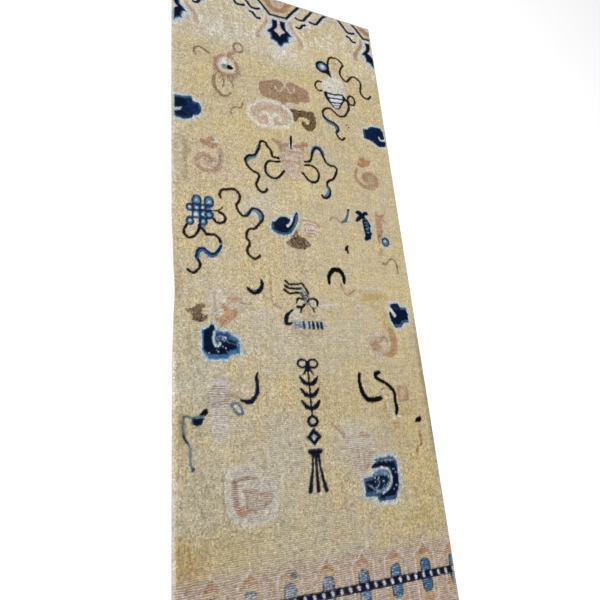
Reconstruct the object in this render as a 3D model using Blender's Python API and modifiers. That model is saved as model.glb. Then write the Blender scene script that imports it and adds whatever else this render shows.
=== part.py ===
# Antique Chinese pillar rug: one hand-knotted wool cloth lying flat on a floor.
# Metres, +Z up. The origin is the middle of the underside, +Y points to the end with
# the swag border and +X to the right of someone who looks that way.
# The pile is thick near the swag end and worn down towards the petal end.

import math

import bpy
import bmesh
from mathutils import Vector, noise

# Driving dimensions
RUG_WIDTH = 0.935          # selvedge to selvedge
RUG_LENGTH = 2.450         # woven end to woven end
FULL_THICKNESS = 0.0085    # foundation and long pile
WORN_THICKNESS = 0.0050    # foundation and pile worn almost to its knots
EDGE_ROUND = 0.0020        # roundness of the overcast selvedges and the ends
UNEVEN_HEIGHT = 0.0004     # hand-cut pile is never quite level
UNEVEN_SCALE = 7.0         # waves of that unevenness to a metre
END_WAVER = 0.0025         # how far the two ends stray inwards from a straight line
CELL = 0.046               # side of a facet of the pile

# Each selvedge's stray from a straight line: where along the rug, and how far inwards
SELVEDGE_COLUMNS = ("along", "inwards")
LEFT_SELVEDGE = (
    (-1.225, 0.000),
    (-0.800, 0.001),
    (-0.400, 0.002),
    (-0.280, 0.006),
    (-0.175, 0.011),
    (-0.060, 0.006),
    (0.080, 0.001),
    (0.600, 0.000),
    (1.225, 0.001),
)
RIGHT_SELVEDGE = (
    (-1.225, 0.001),
    (-0.600, 0.000),
    (0.150, 0.001),
    (0.700, 0.000),
    (1.225, 0.001),
)

# Threadbare places: middle, half sizes, and how far the pile has gone towards fully worn
WORN_COLUMNS = ("x", "y", "half_x", "half_y", "loss")
WORN_PLACES = (
    (0.02, -0.28, 0.42, 0.26, 0.80),
    (-0.22, -0.86, 0.34, 0.24, 0.90),
    (0.24, -0.76, 0.30, 0.20, 0.55),
    (0.00, -1.14, 0.60, 0.16, 0.75),
    (-0.38, 0.10, 0.12, 0.34, 0.50),
)

# Marks left by years of lying folded: a low ridge on the middle line and a shallow dip by
# the left selvedge. Ends of the run, how wide it spreads, and its height
CREASE_COLUMNS = ("x", "y_from", "y_to", "spread", "height")
CREASES = (
    (0.000, -0.20, 0.22, 0.030, 0.0010),
    (-0.400, 0.10, 0.62, 0.035, -0.0012),
    (-0.395, -0.42, -0.26, 0.030, -0.0010),
)


def smooth_step(value):
    value = min(max(value, 0.0), 1.0)
    return value * value * (3.0 - 2.0 * value)


def stray_at(table, along):
    """Inward stray of a selvedge at a place along the rug, eased between its rows."""
    rows = [dict(zip(SELVEDGE_COLUMNS, row)) for row in table]
    for low, high in zip(rows, rows[1:]):
        if along <= high["along"]:
            share = smooth_step((along - low["along"]) / (high["along"] - low["along"]))
            return low["inwards"] + share * (high["inwards"] - low["inwards"])
    return rows[-1]["inwards"]


def end_stray(across):
    """Inward stray of an end at a place across the rug, nothing at its two corners."""
    phase = math.pi * (across / RUG_WIDTH + 0.5)
    return END_WAVER * (0.6 * math.sin(phase) ** 2 + 0.4 * math.sin(3.0 * phase) ** 2)


def pile_loss(x, y):
    """How worn the pile is here, from 0, long, to 1, down to the knots."""
    loss = 0.30 * smooth_step((0.5 - y) / 1.2)
    for row in WORN_PLACES:
        place = dict(zip(WORN_COLUMNS, row))
        distance = math.hypot((x - place["x"]) / place["half_x"], (y - place["y"]) / place["half_y"])
        loss = max(loss, place["loss"] * smooth_step(1.5 - distance))
    return loss


def crease_height(x, y):
    """Rise or dip of the old fold marks here."""
    height = 0.0
    for row in CREASES:
        crease = dict(zip(CREASE_COLUMNS, row))
        run_in = min(y - crease["y_from"], crease["y_to"] - y)
        if run_in > 0.0:
            side = (x - crease["x"]) / crease["spread"]
            height += crease["height"] * math.exp(-side * side) * smooth_step(run_in / 0.08)
    return height


def pile_height(x, y):
    """Height of the pile's top over the floor."""
    loss = pile_loss(x, y)
    level = FULL_THICKNESS + loss * (WORN_THICKNESS - FULL_THICKNESS)
    waves = noise.noise(Vector((x, y, 0.0)) * UNEVEN_SCALE)
    return level + UNEVEN_HEIGHT * waves + crease_height(x, y)


def wool_material():
    material = bpy.data.materials.new("yellow_wool_pile")
    material.use_nodes = True
    shader = material.node_tree.nodes["Principled BSDF"]
    shader.inputs["Base Color"].default_value = (0.58, 0.46, 0.27, 1.0)
    shader.inputs["Roughness"].default_value = 0.95
    shader.inputs["Metallic"].default_value = 0.0
    material.diffuse_color = (0.58, 0.46, 0.27, 1.0)
    return material


def rug_mesh():
    """The pile as a grid that is drawn in at its edges, closed by its sides and underside."""
    half_width = RUG_WIDTH / 2.0
    half_length = RUG_LENGTH / 2.0
    bm = bmesh.new()
    bmesh.ops.create_grid(
        bm,
        x_segments=round(RUG_WIDTH / CELL),
        y_segments=round(RUG_LENGTH / CELL),
        size=1.0,
    )
    for vert in bm.verts:
        across, along = vert.co.x, vert.co.y
        y = along * (half_length - end_stray(across * half_width))
        table = LEFT_SELVEDGE if across < 0.0 else RIGHT_SELVEDGE
        x = across * (half_width - stray_at(table, y))
        vert.co = (x, y, pile_height(x, y))
    rim = [edge for edge in bm.edges if edge.is_boundary]
    walls = bmesh.ops.extrude_edge_only(bm, edges=rim)["geom"]
    foot = [item for item in walls if isinstance(item, bmesh.types.BMVert)]
    for vert in foot:
        vert.co.z = 0.0
    bmesh.ops.holes_fill(bm, edges=[edge for edge in bm.edges if edge.is_boundary], sides=0)
    bmesh.ops.recalc_face_normals(bm, faces=bm.faces)
    mesh = bpy.data.meshes.new("rug")
    bm.to_mesh(mesh)
    bm.free()
    return mesh


def build_rug(collection):
    rug = bpy.data.objects.new("rug", rug_mesh())
    rug.data.materials.append(wool_material())
    collection.objects.link(rug)
    rounding = rug.modifiers.new("rounded_edge", "BEVEL")
    rounding.limit_method = "ANGLE"
    rounding.angle_limit = math.radians(40.0)
    rounding.width = EDGE_ROUND
    rounding.segments = 2
    return rug


def main():
    for item in list(bpy.data.objects):
        bpy.data.objects.remove(item, do_unlink=True)
    collection = bpy.data.collections.new("chinese_rug")
    bpy.context.scene.collection.children.link(collection)
    build_rug(collection)


main()
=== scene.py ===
import math

import bmesh
import bpy
import numpy as np
from mathutils import Euler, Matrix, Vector
from mathutils.bvhtree import BVHTree


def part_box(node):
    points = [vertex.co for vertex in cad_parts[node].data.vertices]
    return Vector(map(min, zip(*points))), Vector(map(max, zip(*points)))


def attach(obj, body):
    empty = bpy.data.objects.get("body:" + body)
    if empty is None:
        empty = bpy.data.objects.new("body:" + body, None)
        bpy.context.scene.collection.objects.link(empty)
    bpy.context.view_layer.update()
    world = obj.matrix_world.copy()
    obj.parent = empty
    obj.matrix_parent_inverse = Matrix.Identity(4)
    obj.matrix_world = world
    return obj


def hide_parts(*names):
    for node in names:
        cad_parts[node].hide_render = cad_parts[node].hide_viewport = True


# An old Chinese pillar rug, knotted in wool, lying flat. Every face of the pile is one knot,
# dyed on its own. Places are in centimetres from the rug's middle, x to the right and y
# towards the end with the hanging blossoms. Wools are in screen colours, 0 to 255.

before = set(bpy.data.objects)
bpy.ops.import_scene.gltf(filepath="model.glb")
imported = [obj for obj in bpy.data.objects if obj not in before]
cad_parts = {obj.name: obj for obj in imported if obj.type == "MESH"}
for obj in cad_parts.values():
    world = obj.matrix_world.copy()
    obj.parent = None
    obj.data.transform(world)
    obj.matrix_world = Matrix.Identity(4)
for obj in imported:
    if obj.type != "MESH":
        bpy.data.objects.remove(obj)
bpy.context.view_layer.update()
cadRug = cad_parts["rug"]
rugLow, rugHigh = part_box("rug")
rugWidth = rugHigh[0] - rugLow[0]
rugLength = rugHigh[1] - rugLow[1]
halfWide = rugWidth * 50      # in centimetres
halfLong = rugLength * 50
cm = 0.01
print("frame loaded, rug", round(rugWidth, 3), "by", round(rugLength, 3), "m")


def table(names, rows):
    # a dictionary from each row, by the names of its columns
    return [dict(zip(names.split(), row)) for row in rows]


# where it is worn: middle and half sizes in centimetres, how bare the pile is, and how grey the
# wool has gone
wornPlaces = table("x y halfX halfY bare grey", (
    (2, -29, 24, 15, 0.60, 0.50),
    (-28, -19, 14, 9, 0.40, 0.45),
    (-43, -28, 5, 22, 0.45, 0.45),
    (-38, -47, 9, 10, 0.30, 0.75),
    (8, 17, 20, 5, 0.30, 0.20),
    (-18, 18, 10, 4, 0.25, 0.35),
    (-15, -73, 17, 17, 0.70, 0.60),
    (-33, -57, 6, 12, 0.70, 0.60),
    (-38, -80, 9, 12, 0.30, 0.55),
    (-5, -97, 30, 12, 0.80, 0.25),
    (14, -70, 10, 9, 0.70, 0.45),
    (0, -112, 60, 12, 0.75, 0.60),
    (-46, 62, 4, 34, 0.20, 0.60),
    (-22, 98, 22, 10, 0.10, 0.55),
    (0, 90, 18, 5, 0.10, 0.55),
))


# random waves: cells across and along in centimetres, strength and seed. Those of one name add up
waves = {
    "wear": ((9.0, 6.0, 0.35, 13), (3.5, 1.8, 0.35, 11), (1.4, 0.8, 0.25, 12)),
    "ragX": ((0.7, 0.7, 1.0, 3),),
    "ragY": ((0.7, 0.7, 1.0, 4),),
    "dashes": ((1.3, 0.45, 1.0, 5), (0.5, 0.5, 0.5, 6)),
    "yellowing": ((13.0, 17.0, 1.0, 21), (5.0, 7.0, 0.6, 22)),
    "fineYellow": ((1.6, 5.0, 1.0, 23),),
    "cluster": ((0.75, 0.95, 1.0, 20),),
    "rowCluster": ((3.2, 0.60, 1.0, 19),),
    "groundMark": ((4.0, 4.0, 0.5, 24), (1.0, 1.5, 0.3, 25)),
    "mist": ((3.4, 4.4, 1.0, 27),),
    "tufts": ((1.2, 1.5, 1.0, 28),),
    "border": ((5.0, 2.0, 1.2, 51), (1.0, 0.6, 0.8, 52)),
    "edge": ((3.0, 9.0, 1.0, 41),),
    "streaks": ((0.6, 9.0, 1.0, 42), (9.0, 0.6, 1.0, 43)),
    "mottles": ((0.9, 0.8, 1.0, 44), (2.4, 2.0, 0.7, 45)),
    "rows": ((2.6, 0.55, 1.0, 46),),
}


def softNoise(x, y, cellX, cellY, seed):
    # smooth random waves from -1 to 1
    latticeSize, latticeMiddle = 512, 250.0
    lattice = np.random.default_rng(seed).uniform(-1.0, 1.0, (latticeSize, latticeSize))
    gx, gy = x / cellX + latticeMiddle, y / cellY + latticeMiddle
    column, row = np.floor(gx).astype(int), np.floor(gy).astype(int)
    shareX, shareY = gx - column, gy - row
    shareX = shareX * shareX * (3.0 - 2.0 * shareX)
    shareY = shareY * shareY * (3.0 - 2.0 * shareY)
    column, row = column % (latticeSize - 1), row % (latticeSize - 1)
    low = lattice[row, column] * (1.0 - shareX) + lattice[row, column + 1] * shareX
    high = lattice[row + 1, column] * (1.0 - shareX) + lattice[row + 1, column + 1] * shareX
    return low * (1.0 - shareY) + high * shareY


def wave(name, x, y):
    total = np.zeros_like(x)
    for cellX, cellY, strength, seed in waves[name]:
        total = total + strength * softNoise(x, y, cellX, cellY, seed)
    return total


def smoothStep(value):
    value = np.clip(value, 0.0, 1.0)
    return value * value * (3.0 - 2.0 * value)


def awayFromMiddle(place, x, y):
    # 0 in the middle of a place, 1 at its edge
    return np.hypot((x - place["x"]) / place["halfX"], (y - place["y"]) / place["halfY"])


def wearAt(x, y, column, fade=1.0):
    # 0 where the pile is whole, 1 where it is gone
    fullReach = 0.95      # how far out the wear is at its fullest
    wear = np.zeros_like(x)
    wander = wave("wear", x, y)
    for place in wornPlaces:
        inside = fullReach - awayFromMiddle(place, x, y) + wander
        wear = np.maximum(wear, place[column] * smoothStep(0.5 + inside / fade))
    return wear


clothLook = {
    "knotWidth": 0.0050,      # one knot across
    "rowHeight": 0.0058,      # one row of knots and its wefts
    "tuftJitter": 0.16,       # how far a tuft strays from its place, in knots
    "pileRelief": 0.00045,    # how unevenly long pile stands
    "wornRelief": 0.00018,
    "edgeRelief": 0.0005,
    "seed": 31,
}

# steps from the pile's rim down to the floor: how far each goes out, and the share of its
# height that it keeps
edgeProfile = table("out height", (
    (0.0011, 0.84),
    (0.0007, 0.62),
    (-0.0005, 0.38),
    (-0.0012, 0.0),
))
rimInset = edgeProfile[0]["out"] + edgeProfile[1]["out"]
rimStep = 0.002               # the rim's height is felt this far inside the edge


def outlineOf(cad):
    # where the solid's edges lie, felt from each side low down
    level = 0.0025
    outside = 2.0
    clear = 0.004         # from the corners
    stationsX = np.linspace(rugLow[0] + clear, rugHigh[0] - clear, 60)
    stationsY = np.linspace(rugLow[1] + clear, rugHigh[1] - clear, 160)

    def reach(start, aim):
        return cad.ray_cast(Vector(start), Vector(aim))[0]

    left = [reach((-outside, y, level), (1, 0, 0)).x for y in stationsY]
    right = [reach((outside, y, level), (-1, 0, 0)).x for y in stationsY]
    near = [reach((x, -outside, level), (0, 1, 0)).y for x in stationsX]
    far = [reach((x, outside, level), (0, -1, 0)).y for x in stationsX]
    return stationsX, stationsY, left, right, near, far


def layCloth():
    # a grid of knots over the solid, with rounded edges and a closed underside
    look = clothLook
    columns = round(rugWidth / look["knotWidth"])
    rows = round(rugLength / look["rowHeight"])
    cad = BVHTree.FromObject(cadRug, bpy.context.evaluated_depsgraph_get())
    stationsX, stationsY, left, right, near, far = outlineOf(cad)
    bm = bmesh.new()
    bm.loops.layers.uv.new("knots")
    bmesh.ops.create_grid(bm, x_segments=columns, y_segments=rows, size=1.0, calc_uvs=True)
    grid = np.array([vert.co for vert in bm.verts])
    across, along = (grid[:, 0] + 1.0) / 2.0, (grid[:, 1] + 1.0) / 2.0
    rim = 0.0001
    side = (across > 1.0 - rim).astype(float) - (across < rim)
    end = (along > 1.0 - rim).astype(float) - (along < rim)
    rng = np.random.default_rng(look["seed"])
    stray = rng.uniform(-1.0, 1.0, (len(grid), 3))
    across = across + (side == 0) * look["tuftJitter"] * stray[:, 0] / columns
    along = along + (end == 0) * look["tuftJitter"] * stray[:, 1] / rows
    y = rugLow[1] + along * rugLength
    leftX = np.interp(y, stationsY, left) + rimInset
    rightX = np.interp(y, stationsY, right) - rimInset
    x = leftX + across * (rightX - leftX)
    nearY = np.interp(x, stationsX, near) + rimInset
    farY = np.interp(x, stationsX, far) - rimInset
    y = nearY + along * (farY - nearY)
    wear = wearAt(x / cm, y / cm, "bare")
    relief = look["pileRelief"] + wear * (look["wornRelief"] - look["pileRelief"])
    for index, vert in enumerate(bm.verts):
        above = Vector((x[index] - side[index] * rimStep, y[index] - end[index] * rimStep, 0.1))
        top = cad.ray_cast(above, Vector((0, 0, -1)))[0].z
        vert.co = (x[index], y[index], top + relief[index] * stray[index, 2])
    outward = {}
    for vert, sideways, endways in zip(bm.verts, side, end):
        if sideways or endways:
            outward[vert] = Vector((sideways, endways, 0.0))
    for step in edgeProfile:
        rim = [edge for edge in bm.edges if edge.is_boundary]
        made = bmesh.ops.extrude_edge_only(bm, edges=rim)["geom"]
        ring = [item for item in made if isinstance(item, bmesh.types.BMVert)]
        above = {}
        for vert in ring:
            # the vertex this one was drawn from is the one straight above it
            parents = [edge.other_vert(vert) for edge in vert.link_edges]
            parent = next(other for other in parents if other in outward)
            above[vert] = parent
        for vert in ring:
            direction = outward[above[vert]]
            rough = look["edgeRelief"] * rng.uniform(-1.0, 0.0) * (step["height"] > 0)
            vert.co += direction * (step["out"] + rough)
            vert.co.z = vert.co.z * step["height"]
        outward = {vert: outward[above[vert]] for vert in ring}
    bmesh.ops.holes_fill(bm, edges=[edge for edge in bm.edges if edge.is_boundary], sides=0)
    bmesh.ops.recalc_face_normals(bm, faces=bm.faces)

    # the edge's faces follow their corners, so that every run numbers them alike
    bm.verts.index_update()
    bm.faces.index_update()
    knots, corners = columns * rows, len(bm.verts)

    def turn(face):
        own = [vert.index for vert in face.verts]
        return face.index if face.index < knots else knots + max(own) * corners + min(own)

    bm.faces.sort(key=turn)
    mesh = bpy.data.meshes.new("rugPile")
    bm.to_mesh(mesh)
    bm.free()
    return mesh, columns, rows


rugMesh, knotColumns, knotRows = layCloth()
print("cloth laid:", knotColumns, "by", knotRows, "knots,", len(rugMesh.polygons), "faces")


# every wool by name
wools = {
    "ground": (192, 176, 140),
    "palePatch": (187, 179, 159),
    "mustard": (181, 158, 106),
    "olive": (138, 128, 96),
    "ochre": (166, 134, 82),
    "cotton": (193, 183, 168),
    "edgePale": (200, 197, 182),
    "edgeDun": (184, 174, 154),
    "bone": (203, 197, 183),
    "white": (212, 207, 196),
    "barWhite": (205, 207, 212),
    "lavender": (196, 196, 198),
    "silver": (176, 176, 184),
    "paleLilac": (190, 182, 170),
    "starPink": (203, 187, 180),
    "palePink": (196, 176, 158),
    "cloudPink": (184, 168, 150),
    "vasePink": (184, 163, 150),
    "dustyPink": (176, 152, 136),
    "tanDust": (160, 133, 108),
    "hookTan": (168, 134, 99),
    "tan": (166, 134, 103),
    "blade": (170, 134, 106),
    "copper": (172, 136, 105),
    "copperDeep": (164, 126, 92),
    "rust": (166, 122, 88),
    "rustRose": (164, 124, 102),
    "umberRose": (148, 122, 106),
    "roseDark": (154, 125, 100),
    "roseBrown": (155, 128, 103),
    "petalGold": (192, 167, 127),
    "capBrown": (170, 122, 88),
    "taupe": (166, 155, 142),
    "taupeRose": (166, 146, 130),
    "umber": (122, 101, 74),
    "fanBrown": (104, 85, 64),
    "brown": (102, 84, 56),
    "lightBlue": (170, 186, 192),
    "rimBlue": (182, 192, 190),
    "beadBlue": (158, 178, 186),
    "steelBlue": (84, 118, 146),
    "latticeBlue": (80, 116, 148),
    "petalBlue": (44, 92, 134),
    "ribbonBlue": (48, 84, 128),
    "inkTeal": (84, 110, 118),
    "tealBlue": (68, 98, 118),
    "deepTeal": (34, 60, 80),
    "ringTeal": (108, 126, 128),
    "slate": (106, 116, 124),
    "slateDark": (74, 90, 108),
    "iris": (92, 104, 138),
    "midBlue": (58, 88, 120),
    "cloudBlue": (52, 100, 140),
    "indigo": (34, 64, 110),
    "rimTeal": (38, 70, 104),
    "knotLine": (24, 46, 76),
    "navy": (14, 31, 64),
    "cloudNavy": (20, 42, 92),
    "navyDark": (8, 19, 42),
    "coreNavy": (8, 24, 56),
    "blueInk": (14, 20, 38),
    "blackInk": (8, 10, 14),
    "ink": (13, 13, 16),
    "oliveInk": (40, 38, 36),
    "umberInk": (30, 22, 18),
    "blackBrown": (16, 11, 12),
}

knotLook = {
    "ragged": 0.11,       # how far an outline strays, in centimetres
    "softEdge": 0.12,     # width of the blend between two wools
    "mingle": 0.12,       # how far neighbouring tufts mix their colours
    "goneInDashes": 1.8,  # how broken a worn wool is along its rows
    "haloReach": 1.15,
    "haloHold": 0.92,
    "margin": 0.6,        # how far outside a shape its knots are looked for
    "speckleIn": 0.2,     # speckles keep this far inside, with an edge this soft
    "speckleSoft": 0.3,
    "thinFull": 2.0,      # where the pile is thinned, and how softly that ends
    "thinFade": 1.6,
    "thinDashes": 0.4,
    "bareFrom": 0.12,     # wefts hardly show through the dark wools, which have kept their pile
    "bareOver": 0.42,
}
brightness = np.array([0.3, 0.5, 0.2])

faceCount = len(rugMesh.polygons)
vertCount = len(rugMesh.vertices)


def read(items, key, width, kind=float):
    values = np.empty(len(items) * width, kind)
    items.foreach_get(key, values)
    return values.reshape(-1, width) if width > 1 else values


# each knot is dyed at its four corners, halfway out from its middle
vertOf = read(rugMesh.loops, "vertex_index", 1, int)
faceOf = np.repeat(np.arange(faceCount), read(rugMesh.polygons, "loop_total", 1, int))
spots = (read(rugMesh.vertices, "co", 3)[vertOf] + read(rugMesh.polygons, "center", 3)[faceOf]) / 2
trueX, trueY = spots[:, 0] / cm, spots[:, 1] / cm
knotX = trueX + knotLook["ragged"] * wave("ragX", trueX, trueY)
knotY = trueY + knotLook["ragged"] * wave("ragY", trueX, trueY)
dashes = wave("dashes", trueX, trueY)
woolOf = np.tile(np.array(wools["ground"]) / 255.0, (len(spots), 1))
bareness = wearAt(trueX, trueY, "bare")


def curveThrough(points, closed=False, steps=6):
    # a smooth curve that passes through every point
    stops = [Vector(point) for point in points]
    stops = [stops[-1], *stops, stops[0], stops[1]] if closed else [stops[0], *stops, stops[-1]]
    curve = []
    for before, start, finish, after in zip(stops, stops[1:], stops[2:], stops[3:]):
        for step in range(steps):
            t = step / steps
            square = 2 * before - 5 * start + 4 * finish - after
            cube = 3 * start - before - 3 * finish + after
            curve.append((2 * start + (finish - before) * t + square * t * t + cube * t ** 3) / 2)
    curve.append(stops[-2])
    return np.array(curve)


def arc(x, y, radiusX, radiusY=None, begin=0, finish=360, shrink=1.0):
    # points round a middle, anticlockwise from the right, whose radius may shrink on the way
    turns = np.radians(np.linspace(begin, finish, max(8, int(abs(finish - begin) / 15) + 1)))
    scale = np.linspace(1.0, shrink, len(turns))
    across, up = radiusX * scale * np.cos(turns), (radiusY or radiusX) * scale * np.sin(turns)
    return np.column_stack([x + across, y + up])


def awayFrom(path, widths, reach):
    # the knots near a path, and how far each lies outside a band of these widths along it
    path = np.asarray(path, float)
    low, high = path.min(0) - reach, path.max(0) + reach
    inX = (knotX > low[0]) & (knotX < high[0])
    picked = np.flatnonzero(inX & (knotY > low[1]) & (knotY < high[1]))
    x, y = knotX[picked], knotY[picked]
    halves = np.interp(np.linspace(0, 1, len(path)), np.linspace(0, 1, len(widths)), widths) / 2
    away = np.full(len(picked), 2.0 * reach)
    for (x0, y0), (x1, y1), half0, half1 in zip(path, path[1:], halves, halves[1:]):
        runX, runY = x1 - x0, y1 - y0
        share = ((x - x0) * runX + (y - y0) * runY) / (runX * runX + runY * runY + 1e-9)
        share = np.clip(share, 0, 1)
        gap = np.hypot(x - x0 - share * runX, y - y0 - share * runY)
        away = np.minimum(away, gap - half0 - share * (half1 - half0))
    return picked, away


def dye(picked, cover, wool, hold):
    # hold is how much of the wool has lasted: what is gone, is gone in dashes along the rows
    broken = hold * (1.0 - hold) * knotLook["goneInDashes"] * dashes[picked]
    lasting = np.clip(hold + broken, 0.0, 1.0) * cover
    woolOf[picked] += (np.array(wools[wool]) / 255.0 - woolOf[picked]) * lasting[:, None]


def above(start, over):
    # 0 up to a height, then rising to 1
    return smoothStep((trueY - start) / over)


def below(start, over, wander=0.0):
    # 0 down to a height, then rising to 1
    return smoothStep((start - trueY + wander) / over)


def here(name):
    # a random wave over all knots
    return wave(name, trueX, trueY)


def wash(wool, cover):
    # a wool's colour over all knots at once
    woolOf[:] += (np.array(wools[wool]) / 255.0 - woolOf) * cover[:, None]


def dyeWithHalo(picked, away, wool, hold, halo, haloWool, soft):
    if halo:
        rim = smoothStep(knotLook["haloReach"] - away / halo)
        dye(picked, rim, haloWool, knotLook["haloHold"])
    dye(picked, np.clip(0.5 - away / soft, 0, 1), wool, hold)


def line(points, width, wool, hold=1.0, bend=True, halo=0.0, haloWool="lightBlue", soft=None):
    # a band along a path. The width may be several, shared out from start to end
    soft = soft or knotLook["softEdge"]
    path = curveThrough(points) if bend else np.asarray(points, float)
    widths = width if isinstance(width, tuple) else (width, width)
    picked, away = awayFrom(path, widths, max(widths) + halo + soft + knotLook["margin"])
    dyeWithHalo(picked, away, wool, hold, halo, haloWool, soft)


def within(points, bend, reach):
    # the knots in and around an outline, and how far outside it each lies
    path = curveThrough(points, closed=True) if bend else np.asarray([*points, points[0]], float)
    picked, away = awayFrom(path, (0.0, 0.0), reach)
    x, y = knotX[picked], knotY[picked]
    inside = np.zeros(len(picked), bool)
    for (x0, y0), (x1, y1) in zip(path, path[1:]):
        if y0 != y1:
            crosses = (y0 > y) != (y1 > y)
            inside ^= crosses & (x < x0 + (y - y0) * (x1 - x0) / (y1 - y0))
    return picked, np.where(inside, -away, away)


def patch(points, wool, hold=1.0, bend=True, halo=0.0, haloWool="lightBlue", soft=None):
    # a filled outline, and a rim of another wool around it
    soft = soft or knotLook["softEdge"]
    picked, away = within(points, bend, halo + soft + knotLook["margin"])
    dyeWithHalo(picked, away, wool, hold, halo, haloWool, soft)


def bar(points, width, wool, hold=1.0, **how):
    # a line that runs straight from point to point
    line(points, width, wool, hold, bend=False, **how)


def slab(points, wool, hold=1.0, **how):
    # a patch with straight sides
    patch(points, wool, hold, bend=False, **how)


def speckle(points, wool, share, hold=0.8, bend=True):
    # scattered knots of another wool inside an outline
    picked, away = within(points, bend, 1.0)
    chance = np.random.default_rng(len(points)).uniform(0, 1, faceCount)[faceOf[picked]]
    inside = np.clip(knotLook["speckleIn"] - away / knotLook["speckleSoft"], 0, 1)
    dye(picked, (chance < share) * inside, wool, hold)


def thin(points, bare):
    # pile worn down inside an outline, with the wool left as it is
    path = curveThrough(points, closed=True)
    x0, y0 = path.mean(0)
    reachX, reachY = np.ptp(path, axis=0) / 2
    away = np.hypot((trueX - x0) / reachX, (trueY - y0) / reachY)
    look = knotLook
    inside = look["thinFull"] - look["thinFade"] * away + look["thinDashes"] * dashes
    np.maximum(bareness, bare * smoothStep(inside), out=bareness)


def bothSides(points):
    # an outline from one half of it, whose first point lies on the middle line
    left = [(-x, y) for x, y in reversed(points) if x]
    return [*points, *left]


# stains in the ground, and painted shade in its valleys and its crease: middle and half sizes in
# centimetres, the wool, and how strong each one is
stainsAndCreaseShade = table("x y halfX halfY wool strength", (
    (31, -15.3, 6.4, 1.9, "mustard", 0.95),
    (26, -17.2, 4.4, 1.6, "mustard", 0.75),
    (33.5, -24.5, 2.4, 3, "mustard", 0.65),
    (-33, -95, 15, 5, "mustard", 0.40),
    (38, -95, 11, 6, "mustard", 0.35),
    (30, 85, 16, 9, "mustard", 0.12),
    (34, -66, 12, 24, "mustard", 0.14),
    (5, -54, 12, 8, "mustard", 0.10),
    # the narrow umber marks by the left edge are painted shade in shallow valleys of the pile
    (-42, 33, 1.3, 9, "umber", 0.30),
    (-41.5, -34, 1.2, 7, "umber", 0.26),
    (-44.5, -18, 1.2, 7, "umber", 0.20),
    (-43.7, -60, 1.0, 4, "brown", 0.40),
    # painted shade along the crease down the middle
    (-0.8, -2, 0.9, 8, "umber", 0.18),
    (-45, -98, 7, 6, "ochre", 0.42),
    (-15, 17.5, 9, 5, "bone", 0.35),
    (-22, -28, 10, 12, "palePatch", 0.55),
    (-37, -44, 10, 8, "palePatch", 0.55),
    (-24, -78, 20, 15, "palePatch", 0.32),
))


# a pair such as "rows" or "upper" is the height where a change begins, and over how much it spreads
groundLook = {
    "warmHue": (1.0, 0.6, -1.2),     # which way the yellow wanders, and how far
    "warmth": 0.014,
    "fineShare": 0.6,
    "clusterHue": (0.011, -0.001, -0.026),    # yellower and pinker knots lie in clusters
    "rows": (0, 40),      # further down the clusters follow the rows
    "rowShare": 0.75,
    "greyFade": 1.7,      # how softly the greyed wool begins
    "groundMarkReach": 1.4,
}
# dark flecks everywhere, but most beside the lower left edge
fleckLook = {
    "x": -39, "y": -86, "halfX": 9, "halfY": 16, "reach": 1.3,
    "share": 0.05,
    "shareThere": 0.22,
    "shade": 0.16,
    "shadeThere": 0.18,
    "seed": 26,
}
# a mist towards the upper border, and pale tufts under its blossoms and at both sides of them
mistLook = {
    "x": -1, "y": 91, "halfX": 12, "halfY": 6, "reach": 1.2,
    "strengthThere": 0.25,
    "upper": (82, 12),
    "strength": 0.20,
    "wander": 0.16,
    "tufts": 0.80,
    "fewTufts": 0.20,
    "tuftEdge": 0.35,
    "sideX": (4, 26, 8),  # its middle, and where it begins to either side
    "sideFrom": (87, 6),
    "sideTo": (103, 6),
}


def dyeGround():
    # sun, feet and washing have turned the yellow unevenly
    look = groundLook
    warm = np.array(look["warmHue"]) * look["warmth"]
    slow, fine = here("yellowing"), here("fineYellow")
    woolOf[:] += slow[:, None] * warm + fine[:, None] * warm * look["fineShare"]
    cluster, rows = here("cluster"), here("rowCluster")
    cluster = cluster + (rows - cluster) * below(*look["rows"]) * look["rowShare"]
    woolOf[:] += cluster[:, None] * np.array(look["clusterHue"])
    wash("palePatch", wearAt(trueX, trueY, "grey", look["greyFade"]))
    # stains, and painted shade in the valleys and the crease
    wander = here("groundMark")
    for groundMark in stainsAndCreaseShade:
        inside = look["groundMarkReach"] - awayFromMiddle(groundMark, trueX, trueY) + wander
        wash(groundMark["wool"], groundMark["strength"] * smoothStep(inside))


def scatterFlecks():
    look = fleckLook
    chance = np.random.default_rng(look["seed"]).uniform(0, 1, faceCount)[faceOf]
    there = smoothStep(look["reach"] - awayFromMiddle(look, trueX, trueY))
    share = look["share"] + look["shareThere"] * there
    wash("olive", (chance < share) * (look["shade"] + look["shadeThere"] * there))


def paleMist():
    look = mistLook
    mist = above(*look["upper"]) * (look["strength"] + look["wander"] * here("mist"))
    tufts = smoothStep((here("tufts") - look["fewTufts"]) / look["tuftEdge"])
    middle, start, over = look["sideX"]
    side = smoothStep((np.abs(trueX - middle) - start) / over)
    side = side * above(*look["sideFrom"]) * below(*look["sideTo"])
    under = smoothStep(look["reach"] - awayFromMiddle(look, trueX, trueY))
    tufts = look["tufts"] * tufts * np.maximum(side, under)
    wash("white", mist + tufts + look["strengthThere"] * under)


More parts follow.
